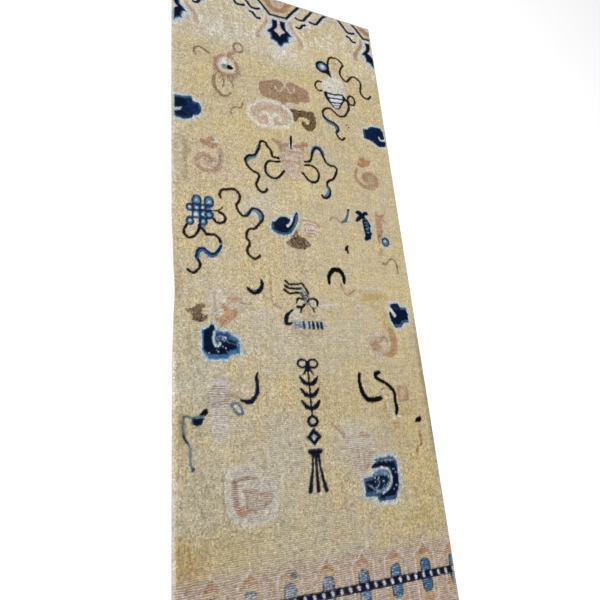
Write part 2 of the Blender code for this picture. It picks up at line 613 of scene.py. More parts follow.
# pale knots and rows that stand out of the ground: the box they lie in, how many there are, how
# long and wide each is in centimetres, and their wool
paleKnots = table("left right low high count long wide wool hold", (
    (9, 37, 99, 114, 52, 0.0, 1.75, "white", 0.84),
    (-40, -9, 92, 112, 120, 0.3, 1.0, "white", 0.76),
    (-12, 10, 87, 97, 26, 0.2, 1.1, "white", 0.6),
    (-14, 14, -33, -16, 46, 4.5, 0.34, "starPink", 0.55),
    (5, 22, -22, -17.5, 12, 7.0, 0.36, "lavender", 0.6),
    (-36, -13, -26, -14, 26, 4.5, 0.34, "starPink", 0.5),
    (-24, 20, -100, -60, 60, 4.0, 0.32, "lavender", 0.35),
    (-13, 14, -32, -16, 20, 3.0, 0.3, "umberRose", 0.35),
))
paleLook = {
    "seed": 29,
    "lengths": (0.4, 1.0),    # how far each strays from the values above
    "widths": (0.7, 1.15),
    "holds": (0.6, 1.2),
    "shortest": 0.05,
    "climb": 0.03,
}


def scatterPale():
    look = paleLook
    rng = np.random.default_rng(look["seed"])
    for place in paleKnots:
        for number in range(place["count"]):
            x = rng.uniform(place["left"], place["right"])
            y = rng.uniform(place["low"], place["high"])
            run = place["long"] * rng.uniform(*look["lengths"])
            wide = place["wide"] * rng.uniform(*look["widths"])
            hold = place["hold"] * rng.uniform(*look["holds"])
            end = (x + run + look["shortest"], y + look["climb"] * run)
            bar(((x, y), end), wide, place["wool"], hold, soft=0.3 * place["wide"] + 0.1)


dyeGround()
scatterFlecks()
paleMist()
scatterPale()
print("ground dyed")


# the hanging blossoms of the upper border, with the stepped lines between them
blossomLook = {
    "axes": (-46.9, -1.1, 46.3),
    "tipHeight": 95.7,
    "lean": 0.06,         # the weaver's rows climb to the right here
    "lineWide": 1.25,
    "innerWide": 0.86,    # the navy heart inside the blue rim
    "innerTall": 0.92,
    "innerUp": 0.9,
}
# halves of each outline and line, from the blossom's axis outwards and from its lowest tip upwards
blossomHalf = ((0, 0), (1.1, 0.9), (1.6, 2), (2.9, 2.8), (4.2, 3.1), (4, 4.6), (4.6, 6.5), (6.1, 6.8),
    (4.7, 8.7), (3.4, 9.9), (3.1, 11.8), (3.2, 14.5))
starHalf = ((0, 5.5), (0.9, 7.2), (2.6, 8.3), (1.4, 9.8), (0.7, 11.3), (0.65, 15.2))
swagHalf = ((0, 16.7), (4, 16.8), (5.5, 19), (7.4, 21.6), (9.3, 23.8), (12, 27.5))
creamHalf = ((0, 17.3), (3.6, 17.5), (6.6, 21.8), (10.6, 27.5))
tanHalf = ((0, 18.9), (2.6, 19.3), (4.6, 22), (7.4, 27.5))
coreHalf = ((0, 21.5), (1.7, 22), (3.2, 24.2), (4.8, 27.5))
armHalf = ((5.3, 15.8), (5.7, 12.7), (6.7, 10.2), (8.2, 7.8), (9.6, 5.6), (10, 3.6))
stepHalves = (
    ((8.7, 18.6), (10, 18), (12.3, 18.3), (13.8, 20.3), (15.5, 22.6), (17.2, 25)),
    ((15.6, 18.3), (17.1, 17.9), (18.8, 18.1), (20, 19.7), (22, 22.6), (24.6, 25.1)),
    ((8.7, 13.2), (9.9, 13), (10.9, 14), (11.5, 15.1), (12.9, 15.7)),
)


def hangingBlossom(axis):
    look = blossomLook

    def place(points, flip=1):
        # from the blossom's own places to the rug's
        tip = look["tipHeight"] + look["lean"] * (axis - look["axes"][1])
        return [(axis + flip * x, tip + y + look["lean"] * flip * x) for x, y in points]

    def moved(points, aside, up):
        return [(x + aside, y + up) for x, y in points]

    slab(place(bothSides(swagHalf)), "mustard", 0.60)
    slab(place(bothSides(creamHalf)), "palePink", 0.35, soft=0.8)
    slab(place(bothSides(tanHalf)), "roseDark", 0.92, soft=0.6)
    slab(place(bothSides(coreHalf)), "palePink", 0.85)
    patch(place(bothSides(moved(coreHalf, -0.4, 2.4))), "taupe", 0.7)
    armWool, armHold = ("tan", 0.98) if axis > 0 else ("dustyPink", 0.75)
    middleOne = axis == look["axes"][1]
    for flip in (-1, 1):
        # a pale mist beside the arms and under the lines
        line(place(moved(armHalf, 1.6, -0.6), flip), (1, 2, 3.4), "white", 0.55, soft=1.6)
        line(place(moved(armHalf, -1.6, -0.4), flip), (2.6, 2.4, 1.2), "white", 0.55, soft=1.2)
        line(place(armHalf, flip), (1.2, 1.8, 2.2, 2.2), armWool, armHold, soft=0.6)
        line(place(armHalf, flip), (0.6, 0.8, 0.7), "tanDust", 0.55)
        line(place(((0, 20.2), (2.6, 20.6), (4.3, 22), (6.9, 26)), flip), 1.5, "roseDark", 0.8, soft=0.5)
        patch(place(arc(9.7, 3.2, 1.6, 1.3), flip), "dustyPink", 0.6, soft=0.6)
        bar(place(moved(swagHalf, 1, -0.7), flip), (1.2, 2.2, 2.2, 1.6), "lavender", 0.85, soft=0.8)
        bar(place(swagHalf, flip), look["lineWide"], "navyDark", 0.98)
        for steps in stepHalves if middleOne else (stepHalves[0], stepHalves[2]):
            bar(place(moved(steps, 0.5, -0.6), flip), 2.3, "lavender", 0.7, soft=0.9)
            line(place(steps, flip), look["lineWide"], "blueInk", 0.95)
    outline = place(bothSides(blossomHalf))
    slab(outline, "lightBlue", 0.55, halo=2.5, haloWool="lavender")
    slab(outline, "midBlue", halo=1.8, haloWool="rimBlue")
    wide, tall, up = (look[key] for key in ("innerWide", "innerTall", "innerUp"))
    inner = [(wide * x, up + tall * y) for x, y in blossomHalf]
    slab(place(bothSides(inner)), "navyDark", soft=0.5)
    slab(place(bothSides(starHalf)), "starPink", 0.97)


for blossomAxis in blossomLook["axes"]:
    hangingBlossom(blossomAxis)
print("upper border dyed")


# the petals and pearls of the lower border
petalLook = {
    "middles": (46.8, 35.1, 23.5, 11.7, -0.6, -12.9, -24.9, -36.3, -47.5),
    "bandY": -110.5,
    "fade": 0.12,         # each petal to the left is worn by this much more
    "leastLasting": 0.35,
    "gapRows": 8,         # white knots where the blue has gone
    "gapColumns": 4,
    "gapStart": (-1.4, 1.2),
    "gapStep": (0.9, 0.43),
    "gapWide": 0.45,
}
pearlLook = {
    "bandWide": 2.45,
    "firstX": 46,
    "spacing": 3.03,
    "slant": 0.14,
    "wide": 0.84,
    "reach": 0.36,
}
borderGround = {
    "pinkBelow": (-98.6, 5),    # the ground turns pink towards the border
    "pink": 0.75,
    "bareBelow": (-98, 3),
    "bare": 0.95,
}
# halves of a petal, its cap and its core, outwards and upwards from the middle of the band
petalHalf = ((0, 10.4), (0.5, 9.3), (1.3, 8.4), (2.5, 7.6), (3.4, 7.2), (3.8, 6.4), (3.9, 1))
capHalf = ((0, 6.1), (2, 6.2), (2.1, 7), (0.7, 8.2), (0, 9.4))
petalCore = ((0, 4.7), (0.9, 4.6), (1.6, 4), (1.85, 3), (1.85, 0.8))


def petal(middle, up, lasting):
    # one petal above the band, or below it with up at -1
    base = petalLook["bandY"]

    def place(points):
        return [(middle + x, base + up * y) for x, y in points]

    slab(place(bothSides(petalHalf)), "petalGold", 0.50 * lasting)
    for sideways in (-1, 1):
        half = [(sideways * x, y) for x, y in petalHalf]
        bar(place(half), 0.55, "starPink", min(0.98, 0.45 + 0.7 * lasting))
        line(place(((sideways * 3.1, 5.6), (sideways * 2.9, 1))), 0.7, "tan", 0.5 * lasting)
        line(place(((sideways * 5.8, 5), (sideways * 5.8, 1))), 0.9, "palePink", 0.4 * lasting)
    slab(place(bothSides(capHalf)), "capBrown", min(0.9, 0.35 + 0.6 * lasting))
    line(place(((-2.4, 1.4), (-2.3, 4), (-1.2, 5.4), (0, 5.7), (1.2, 5.4), (2.3, 4), (2.4, 1.4))), 1.15,
        "petalGold", 0.88 * lasting, soft=0.5)
    core = place(bothSides(petalCore))
    slab(core, "petalBlue", min(1, 1.15 * lasting))
    bar([*core, core[0]], 0.5, "navy", 0.75 * lasting)
    # more white in the worn petals, and on their left
    gone = min(1, 0.15 + 2.2 * (1 - lasting))
    (startX, startY), (stepX, stepY) = petalLook["gapStart"], petalLook["gapStep"]
    for row in range(petalLook["gapRows"]):
        for column in range(petalLook["gapColumns"]):
            if (3 * row + 2 * column) % 5 < 5 * gone - column:
                x, y = startX + stepX * column, startY + stepY * row
                gap = place(((x, y), (x + petalLook["gapWide"], y)))
                bar(gap, 0.26, "barWhite", 0.8)


def pearlBand():
    look = pearlLook
    base, reach = petalLook["bandY"], look["reach"]
    bar(((-halfWide - 1, base), (halfWide + 1, base)), look["bandWide"], "blueInk", 0.97)
    for number in range(int(2 * halfWide / look["spacing"]) + 2):
        x = look["firstX"] - number * look["spacing"]
        pearl = ((x + look["slant"], base - reach), (x - look["slant"], base + reach))
        bar(pearl, look["wide"], "barWhite", 0.97)


def lowerBorder():
    look = borderGround
    wander = here("border")
    wash("dustyPink", below(*look["pinkBelow"], wander) * look["pink"])
    for number, middle in enumerate(petalLook["middles"]):
        lasting = max(petalLook["leastLasting"], 1 - petalLook["fade"] * max(0, number - 1))
        petal(middle, 1, lasting)
        petal(middle, -1, lasting)
    bare = look["bare"] * below(*look["bareBelow"], wander)
    np.maximum(bareness, bare, out=bareness)
    for spot, hold in ((((42.4, -104.8), (46.9, -103.6), (46.9, -105.8), (43, -106.4)), 0.62),
            (((41.6, -113.4), (45.8, -113), (45.6, -115.2), (42, -115)), 0.5)):
        slab(spot, "capBrown", hold, soft=0.5)
    patch(arc(-11.4, -103.6, 1.2, 1.1), "slate", 0.95)
    line(((-14.8, -106.4), (-11.6, -106.6)), 0.7, "slate", 0.8)
    pearlBand()


lowerBorder()
print("lower border dyed")


# the treasures and clouds of the field, from the top down
ribbonWide = 1.06


def ribbon(points, wool="ink", hold=0.97, width=ribbonWide):
    line(points, width, wool, hold)


def flamingPearl():
    # a rose ring round a bright eye, fringed with flames, and curling wisps
    x, y = -25.5, 78.3
    patch(arc(x, y, 5, 5.6), "palePink", 0.75, soft=0.8)
    line(arc(x, y, 4.4, 4.9, 100, 440), 1.5, "tanDust", 0.72, soft=0.7)
    flames, firstTurn, turnStep = 27, 155, 9
    for number in range(flames):
        # flames all round but for the top, the lower ones longer
        turn = np.radians(firstTurn + turnStep * number)
        long = 1.2 + (0.9 + 0.5 * (number % 3)) * max(0, -np.sin(turn))
        root = (x + 4.2 * np.cos(turn), y + 4.7 * np.sin(turn))
        tip = (root[0] + long * np.cos(turn), root[1] + long * np.sin(turn) - 0.5)
        bar((root, tip), (0.65, 0.5), ("umber", "umberRose")[number % 2], 0.75)
    line(((-27, 72), (-26.8, 69.4), (-27.2, 67.4)), (0.7, 0.9), "umber", 0.6)
    line(((-23.6, 71.2), (-23.2, 67.8)), (0.6, 0.8), "umber", 0.55)
    line(((-27.6, 73.9), (-25.4, 73.3), (-23.8, 73.9)), 1.5, "rust", 0.55, soft=0.5)
    patch(arc(x, y - 0.3, 3.2, 3.2), "bone", 0.6, soft=0.8)
    patch(arc(-22.9, 75.8, 1.2, 1.1), "lavender", 0.5, soft=0.6)
    patch(((-27, 79), (-26.6, 81.7), (-25.6, 81.9), (-25.3, 79.2)), "white")
    line(((-25, 80.8), (-25, 79.4)), 0.4, "ink", 0.45)
    patch(arc(-26.2, 77.5, 1.3, 1.25), "ringTeal", 0.97)
    patch(((-25.1, 78.5), (-23.7, 78.6), (-22.7, 77.9), (-22.9, 77), (-24, 76.5), (-25.1, 76.7)), "ink")
    line(((-24.7, 82.6), (-23.6, 84.6), (-22, 86)), (1.4, 2, 2), "umberRose", 0.68, soft=0.5)
    patch(arc(-20.2, 88.8, 1.9, 2.2), "palePink", 0.6)
    line(arc(-20.2, 88.8, 2, 2.3, -130, 230), 0.95, "umber", 0.78)
    ribbon(((-37.6, 80), (-38.4, 81.5), (-37.8, 83.3), (-36, 84.2), (-34.3, 83.3), (-32.2, 82.2)), "umber",
        0.72, 0.95)
    line(((-30.6, 71.4), (-31, 68.6), (-30.2, 66), (-28.6, 63.9), (-26.8, 63.1), (-25.2, 63.9),
        (-24, 65.4)), (1.5, 1.5, 1.3, 0.7), "umber", 0.72)
    ribbon(((-24.4, 55.6), (-24.3, 57.3), (-22.8, 58.9), (-20.6, 59.2), (-19.7, 60.8), (-19.4, 62.5)),
        "umber", 0.72, 0.85)


def conch():
    # the shell, its blue bars, and its long knotted ribbon
    shell = ((17.4, 77.6), (17.1, 81), (18.3, 83.3), (20, 85.7), (22.3, 88.3), (25, 87.3), (27.6, 85),
        (28.7, 82), (28.6, 79), (27.3, 77.2), (22.5, 76.6))
    patch(shell, "bone", 0.97, halo=0.6, haloWool="palePatch")
    line(((19.8, 80.3), (21.2, 80.6)), 0.35, "slate", 0.6)
    line(((26.4, 80.9), (27.8, 81.2)), 0.35, "slate", 0.6)
    bars = ((18.4, 76.9), (27.4, 77.4), (27.2, 75.4), (25.6, 73), (24.4, 70.6), (22, 70.2), (20.6, 72),
        (19.4, 74.4))
    slab(bars, "barWhite", 0.95)
    line(((18.2, 76.4), (18.9, 77.3), (22.4, 77.2), (26.2, 77.9), (27.8, 76.6)), 0.85, "navyDark")
    line(((18.5, 77.2), (18.6, 75.4), (19.6, 73.4), (20.8, 71.7), (21.8, 70.6)), (1.7, 1.7, 1.2, 0.7, 0.5),
        "navyDark", 0.95)
    line(((19.2, 74.9), (22.6, 75.2), (26.9, 75.7)), 0.72, "navyDark", 0.97)
    line(((20.2, 72.8), (22.6, 72.9), (25.5, 73.5)), 0.68, "navyDark", 0.95)
    line(((21.2, 71.5), (22.6, 71.5), (24.4, 72)), 0.45, "navyDark", 0.85)
    line(((21.2, 70.6), (22.6, 70.1), (24.2, 70.3), (25.2, 72.2), (26.6, 74.4), (27.5, 76.4)), (0.5, 0.7,
        0.9, 1.1), "navyDark", 0.9)
    patch(arc(18.2, 91, 2.7, 2.6), "steelBlue", 0.97)
    patch(arc(18.4, 91.1, 1.2, 1.3), "lightBlue", 0.95, soft=0.5)
    patch(arc(18.6, 91.1, 0.6, 0.8), "white", 0.95, soft=0.4)
    line(arc(18.2, 91, 2.75, 2.6), 1.25, "navyDark")
    line(((18.4, 88.5), (20.4, 88.5), (22, 86.9)), (1.2, 2, 1.1), "blueInk")
    line(((20.9, 92.6), (20.9, 90), (21.4, 88)), 1.2, "blueInk")
    ribbon(((21.6, 87.6), (21.1, 92), (21.6, 95.5), (23, 97.6), (26.3, 97.9), (28.9, 95.3), (27.5, 92.5),
        (26.9, 89.5), (28.2, 87.2), (29.8, 86.3), (31.2, 87.8), (33, 89.8), (34.8, 90), (36.5, 88.8),
        (37.3, 86.8), (36.5, 83.5), (36.8, 81.3), (38.2, 79.8), (40, 79.6), (41.7, 81.4)), "umberInk")
    ribbon(((16.9, 82.5), (15, 82.3), (13.8, 80.4), (14, 78.6), (15.3, 77.4), (16.7, 77.9)), "umberInk",
        0.97, 0.95)
    patch(arc(31, 76.2, 1.8, 2.2), "tanDust", 0.35)
    line(arc(31, 76.3, 1.8, 2.4), 1, "umberInk", 0.95)
    line(((27, 76.4), (28.2, 75.7), (29.4, 75.4)), 1.2, "umberInk")
    patch(((22.6, 91.5), (22.8, 95.5), (25.5, 96.5), (27, 94.8), (25.6, 91.5)), "tanDust", 0.25)
    line(((16.2, 64.4), (18.2, 62.1), (20.8, 61.2), (21.9, 59.6), (21.9, 58.2)), 1.7, "tealBlue", 0.9,
        halo=0.5)
    ribbon(((29.1, 75.3), (29.3, 72.5), (28.4, 69.8), (26.8, 67.5), (25, 66.3), (23.2, 66.5), (21.5, 68),
        (19.8, 69.2), (17.9, 68.9), (16.2, 67.2), (16, 65.3), (17, 63.5), (19.2, 62.6), (21, 62),
        (22.5, 60.5), (22.5, 58.8), (21.4, 57.3), (22, 55.5), (23.5, 54.3), (25.2, 55.5)), "umberInk")
    patch(arc(26.9, 62.3, 0.4), "umberInk", 0.7)
    patch(arc(27.8, 61.5, 0.4), "umberInk", 0.7)
    patch(arc(36.8, 71, 0.45), "umber", 0.5)


def middleClouds():
    # a rose cloud above a pale one, and a brown hook
    rose = ((-12.3, 71), (-11.9, 74), (-10.5, 75), (-8, 76.2), (-5.5, 77.2), (-3, 77.3), (-1.5, 76.2),
        (-0.9, 74.6), (0.1, 76.4), (1.5, 77.6), (4, 77.5), (6.8, 76.6), (9.6, 75.4), (10.2, 72),
        (9.8, 69.9), (7.6, 69.2), (5.4, 68.7), (4.4, 67.5), (0.6, 67.4), (-0.8, 66.5), (-1.6, 65.1),
        (-2.7, 65.2), (-3.6, 66.6), (-8, 67.2), (-11, 67.7))
    patch(rose, "roseBrown", 0.98, halo=1, haloWool="palePink")
    speckle(rose, "umber", 0.22, 0.5)
    speckle(rose[8:16], "rustRose", 0.5, 0.5)
    line(((-5.1, 74.2), (-4.5, 72.4), (-3.4, 71.7), (-2.3, 72.6), (-1.8, 74.2)), 0.95, "palePink", 0.62)
    line(((0.4, 74.6), (0.9, 72.9), (2, 72.4), (3.2, 73.2), (3.6, 75)), 0.95, "palePink", 0.62)
    line(((-1.2, 77.6), (-0.7, 75.8), (-0.9, 74.4)), 1.2, "palePink", 0.8)
    pale = ((-17.2, 57.6), (-17.1, 61), (-14.6, 62.8), (-12.6, 64.8), (-9.5, 65.6), (-5, 65.6),
        (-1.5, 64.3), (0.4, 63.4), (1.5, 61), (1.4, 58), (0.2, 56), (-3, 54.4), (-7.4, 53.5), (-9.4, 53.3),
        (-12.8, 53), (-14.6, 54.6), (-16.6, 55.6))
    patch(pale, "cloudPink", 0.95)
    patch(((-12, 60.5), (-9, 63.5), (-4, 63.6), (-1, 62.4), (-2, 60.4), (-6, 61.4)), "tanDust", 0.3)
    patch(((-15.6, 57), (-15, 61.4), (-12.6, 61), (-12.6, 58)), "tanDust", 0.25)
    line([*pale, pale[0]], 1.5, "bone", 0.95, soft=0.5)
    line(((-12.6, 57.6), (-12, 59), (-10.8, 59.6), (-9.4, 59.3), (-8.7, 58), (-8.5, 55.5), (-8.6, 53.4)),
        1.3, "bone", 0.95, soft=0.4)
    line(((-7.7, 53.6), (-7.6, 57), (-7, 59), (-5.5, 59.8), (-4.3, 59.3), (-3.9, 57.8), (-4.6, 57)), 1.3,
        "bone", 0.95, soft=0.4)
    patch(((-12, 57.2), (-10.2, 58), (-9.6, 56), (-10.6, 54.6)), "tanDust", 0.4)
    patch(((-6.6, 57.6), (-4.8, 56.6), (-5.4, 54.8), (-6.8, 54.8)), "tanDust", 0.4)
    hook = ((0.7, 64.1), (2.5, 64.4), (4.5, 64), (6.5, 64.8), (8.6, 64.3), (10, 65.2), (11.1, 64.7),
        (11.9, 62.8), (12, 60), (11.6, 57.8), (10.3, 56.4), (9.8, 55.4), (8, 55.1), (6.8, 55.8), (6.2, 57),
        (5.5, 57.8), (5.9, 59), (6.8, 59.2), (7.2, 58.3), (8.3, 57.9), (9.3, 59), (9.2, 60.4), (8.2, 61.3),
        (6.5, 61.7), (4.8, 61.3), (3.6, 60), (2.8, 58.6), (2.2, 57.9), (2, 60), (1.9, 62.4))
    slab(hook, "brown", 0.99)
    speckle(hook, "umber", 0.45, 0.8, bend=False)
    bar([*hook, hook[0]], 0.5, "umberInk", 0.42)
    speckle(hook, "umberInk", 0.16, 0.5, bend=False)


def sideClouds():
    # one navy cloud by each edge
    left = ((-47.2, 58.4), (-45.4, 58.3), (-43, 58.6), (-40, 59.4), (-39.2, 58.6), (-38.9, 57.2),
        (-37, 57.4), (-36.1, 56), (-35.9, 53.5), (-37, 51.8), (-39, 51.2), (-39.4, 49.9), (-41, 49),
        (-43, 48.7), (-45.6, 49.2), (-47.2, 50))
    slab(left, "navy", 0.98, halo=1.7, haloWool="rimBlue")
    patch(((-45.6, 57.6), (-40.4, 58.2), (-37.4, 56.4), (-37.2, 53), (-43, 55)), "cloudNavy", 0.5)
    patch(((-45.8, 57.4), (-42, 57.6), (-41.6, 54.6), (-45.4, 54.2)), "navyDark", 0.8)
    patch(((-45.8, 51.6), (-42.6, 52), (-41, 50.4), (-45.2, 50)), "navyDark", 0.7)
    line(((-46.2, 57.4), (-46.4, 54.6)), 0.8, "rimBlue", 0.8)
    line(((-46, 58.2), (-42.6, 58.5), (-39.8, 59.1)), 1.1, "midBlue", 0.8)
    line(((-38.6, 57), (-36.8, 56.6), (-36.4, 53.6), (-38.4, 51.6)), 1, "midBlue", 0.5)
    line(((-45.6, 49.7), (-42.6, 49.2), (-40, 50)), 0.9, "midBlue", 0.6)
    slab(((-47.2, 53.6), (-45.4, 53), (-43, 53.9), (-43.5, 52.4), (-45.4, 51.7), (-47, 52)), "lightBlue",
        0.97)
    right = ((34.9, 57.8), (34.8, 62.3), (37.6, 62.9), (38.3, 64.1), (40.2, 64.9), (44.4, 64.9),
        (45.4, 63), (45.6, 60.2), (46, 57.2), (45.6, 55.4), (42.4, 54.7), (40.8, 55.4), (39.4, 57.2))
    slab(right, "coreNavy", 0.98, halo=1.6, haloWool="rimBlue")
    line(((42.8, 60), (43, 59), (43.9, 58.3), (45.8, 58.9)), (0.6, 0.9), "barWhite", 0.92)
    line(((35.4, 62.2), (35.4, 58)), 1.1, "midBlue", 0.8)
    line(((35.6, 58), (37.4, 57.7), (39.6, 56.4)), 0.9, "deepTeal", 0.6)
    line(((38, 63.3), (40.6, 64.4), (43.6, 64.3)), 0.8, "deepTeal", 0.5)


def vase():
    # a pale vase with ribbons looping from both handles
    body = ((-5.6, 41), (-5.3, 38), (-4.6, 35), (-3, 32.2), (-0.9, 31), (1.2, 31.3), (2.4, 33),
        (3.2, 35.5), (4.2, 38.5), (4.9, 42), (4.9, 45.2), (3.6, 46.9), (0.5, 47.2), (-3, 46.9),
        (-5.2, 45.4))
    patch(body, "vasePink", 0.88)
    patch(((-5.7, 43.6), (-5.2, 45.8), (-2.4, 47.2), (-1.6, 46), (-4, 43.6)), "tanDust", 0.8)
    patch(((0.6, 46), (2.6, 47.4), (5, 46.8), (5, 44.6), (2.8, 45.2)), "tanDust", 0.85)
    patch(((-6, 46.9), (-5.6, 44.4), (-3, 45.4), (1, 45.8), (4.6, 46), (5.4, 47.6), (0.5, 47.2)),
        "umberRose", 0.6, soft=0.5)
    line(((-4.2, 35.4), (-0.6, 35), (3, 35.6)), 0.9, "palePatch", 0.7, soft=0.4)
    for y, reach in ((43.4, 5), (41.6, 4.8), (38.9, 5), (38.1, 4.8)):
        line(((-reach, y - 0.4), (-0.4, y), (reach - 0.4, y)), 0.34, "tanDust", 0.8)
    line(((2.7, 41.4), (2.7, 37.5), (2, 33)), (1.3, 1.5, 1.1), "tan", 0.45, soft=0.6)
    line(((-4.6, 38.5), (-1, 38.9), (4, 38.6)), 0.9, "tanDust", 0.35)
    bands, lowest, step, widening = 9, 32.6, 1.55, 0.33
    for number in range(bands):
        y, wool = lowest + step * number, ("bone", "roseDark", "lavender")[number % 3]
        reach = 1.6 + widening * number
        line(((-reach, y), (0.4, y + 0.2), (reach * 0.95, y)), 0.4, wool, 0.38)
    patch(arc(5.7, 48.1, 1.7, 1.15), "roseDark", 0.97)
    patch(arc(-6.9, 47.2, 1.7, 1), "umberRose", 0.55, soft=0.6)
    line(((0, 50.6), (-0.2, 48.2), (-0.5, 44.6)), (1.2, 1.1, 0.6), "ink", 0.98, halo=0.5, haloWool="bone")
    line(((-14.2, 42.9), (-14.9, 40.4), (-16.2, 38.1), (-18.2, 37), (-19.4, 35.6)), 1.5, "steelBlue", 0.92)
    ribbon(((-6, 39.3), (-8.3, 39.5), (-8.8, 40.3), (-9.2, 42.4), (-10.5, 43.8), (-11, 45.3),
        (-12.4, 45.8), (-13.4, 45), (-13.7, 43.2), (-14.3, 41.4), (-15.2, 39.7), (-16.5, 38.6),
        (-18.5, 38), (-19.7, 36.5), (-19.6, 35), (-18.5, 33), (-17.2, 31.8), (-15.3, 31), (-14.6, 29.8),
        (-15.3, 28), (-15.9, 26), (-15.2, 24.2), (-14, 23.2), (-12.6, 23.4), (-11.8, 24.8)))
    ribbon(((-5.8, 37.9), (-8, 37.5), (-10, 37.3), (-11.3, 36), (-11.9, 34), (-11.7, 32), (-10.6, 30.6),
        (-8.8, 29.9), (-7, 30.5), (-5.6, 32), (-4.2, 34)))
    line(((8.5, 44.4), (9.2, 46.2), (10.4, 47.7), (12.2, 47.9), (13.3, 46.6), (14, 44.6)), (0.8, 1.5, 1.6,
        1), "ribbonBlue", 0.95, halo=0.5)
    line(((10.1, 47), (11.2, 47.3), (12.3, 47.1), (13.2, 45.4)), (0.9, 1.1, 1), "navyDark")
    ribbon(((5.2, 39.9), (7.2, 40.5), (8, 41.7), (8.6, 43.8), (9.4, 45.7), (10.4, 47.2), (12, 47.4),
        (12.9, 46), (13.9, 43.5), (14.8, 41.5), (16.5, 40.4), (18.4, 40.3), (19.4, 39.2), (18.9, 37.3),
        (18, 35.4), (17, 34), (15.2, 33.1), (14.2, 31.8), (14.2, 30), (15.1, 28.4)))
    line(((14.6, 29.8), (14.7, 28.2), (13.8, 26.6), (12.6, 25.8)), (0.8, 1.7, 1.5, 0.8), "steelBlue", 0.92,
        halo=0.3)
    line(((14.6, 30.2), (15.3, 28.4), (14.8, 26.4), (13.4, 25.1), (12, 24.9), (11.3, 25.9)), (0.7, 0.9,
        1.1, 1.2, 1), "blueInk")
    ribbon(((5, 38.3), (7, 38.7), (9, 38.2), (10.4, 36.8), (10.9, 35), (10.4, 33), (9.2, 31.5),
        (7.4, 31.1), (5.7, 32), (4.4, 33.8), (3.6, 34.6)))


def paleScrolls():
    # the small worn clouds either side of the vase
    puff = ((-36.9, 41), (-35.8, 42), (-34.3, 41.7), (-34, 42.9), (-32.4, 43.3), (-31.3, 42.8),
        (-31.2, 41.4), (-30, 40.6), (-30.1, 39.6), (-30.9, 38.6), (-32.6, 38.2), (-34.2, 39.2),
        (-35.8, 39.1))
    patch(puff, "tanDust", 0.97, halo=0.9, haloWool="palePink")
    patch(arc(-35.6, 40.6, 1.1, 1), "roseDark", 0.7)
    line(((-32.6, 41.2), (-31.2, 41.3), (-30.2, 42)), (0.5, 0.8, 1), "bone", 0.85)
    patch(arc(-33.6, 31.9, 6.2, 5.4), "palePink", 0.65, soft=1.2)
    line(((-32.6, 33.6), (-33.6, 34.8), (-35.2, 35.2), (-36.9, 34.6), (-37.8, 32.8), (-37.5, 30.6),
        (-36, 29.1), (-33.2, 28.7), (-31, 29.5), (-29.8, 31), (-29.1, 33), (-29.2, 34.4)), (1.5, 1.8, 2,
        1.9, 1.8, 1.8, 1.6), "tanDust", 0.85, soft=0.4)
    line(((-30.4, 31), (-29.2, 33.2), (-28.9, 35.6), (-29.3, 38.2)), (1.6, 2.4, 2.4, 2), "taupeRose", 0.9,
        soft=0.4)
    line(((-36.4, 29.4), (-34, 28.2), (-31, 28.6), (-28.8, 30.4)), 1.1, "dustyPink", 0.55, soft=0.4)
    patch(arc(-33, 33.4, 2.6, 1.6), "taupeRose", 0.45, soft=0.8)
    line(((-33.6, 30.6), (-31.8, 30.3), (-30.2, 31.2), (-29.4, 33.4), (-29.3, 37)), 0.4, "umberRose", 0.7)
    patch(arc(-32.6, 33.6, 1, 1.2), "tanDust", 0.7)
    line(((-36.2, 32.6), (-34.6, 31.4), (-32, 31.4), (-30.6, 32.6)), 0.8, "tanDust", 0.4)
    puff = ((29.5, 43.6), (30.2, 44.8), (30.8, 46.4), (31.8, 47.2), (33.2, 47.2), (34, 46.3), (35.4, 46.7),
        (36.4, 46.4), (36.2, 45.2), (35.2, 43.8), (34, 43.2), (33, 42.6), (31.5, 42.4), (29.9, 42.8))
    patch(puff, "copperDeep", 0.97, halo=0.9, haloWool="palePink")
    line(((31, 46.8), (32.4, 47), (33.6, 46.4)), 0.8, "umber", 0.5)
    patch(arc(31.1, 45, 0.7, 0.5), "palePink", 0.8)
    line(((28.2, 39.6), (29.3, 41.3)), 1, "olive", 0.75)
    patch(arc(33.4, 36.6, 5.8, 4.6), "palePink", 0.45)
    patch(arc(34.6, 36.6, 3.2, 2.8), "tanDust", 0.6)
    line(((28.6, 40.6), (28, 38.4), (28.2, 36.3), (29.6, 34.8), (31.2, 33.5), (33.6, 33), (36, 33.4),
        (37.7, 35.2), (38, 37.3), (37.3, 38.9), (35.6, 39.7), (33.8, 39.4), (32.2, 38.4), (32, 37),
        (33.2, 36.4)), (1.2, 1.6, 2.1, 2.3, 2.1, 1.7), "roseDark", 0.86, soft=0.5)


# the endless knot's loops: middle, half sizes, and the half size of the light eye inside
knotLoops = table("x y wide tall eye", (
    (-38.2, 16.1, 1.50, 1.90, 0.40),
    (-33.9, 16, 1.55, 2.05, 0.44),
    (-40.6, 13.1, 1.15, 1.25, 0.40),
    (-33.9, 10.9, 1.40, 1.25, 0.44),
    (-40.6, 7.9, 1.15, 1.40, 0.40),
    (-36.1, 8.2, 1.25, 1.45, 0.38),
))
# the crossings between them, with the openings that show
knotGaps = ((-38.4, 13.2, 0.40, "lightBlue"), (-36.2, 13.4, 0.42, "barWhite"), (-38.5, 10.7, 0.62,
    "barWhite"), (-36.2, 10.8, 0.42, "barWhite"))


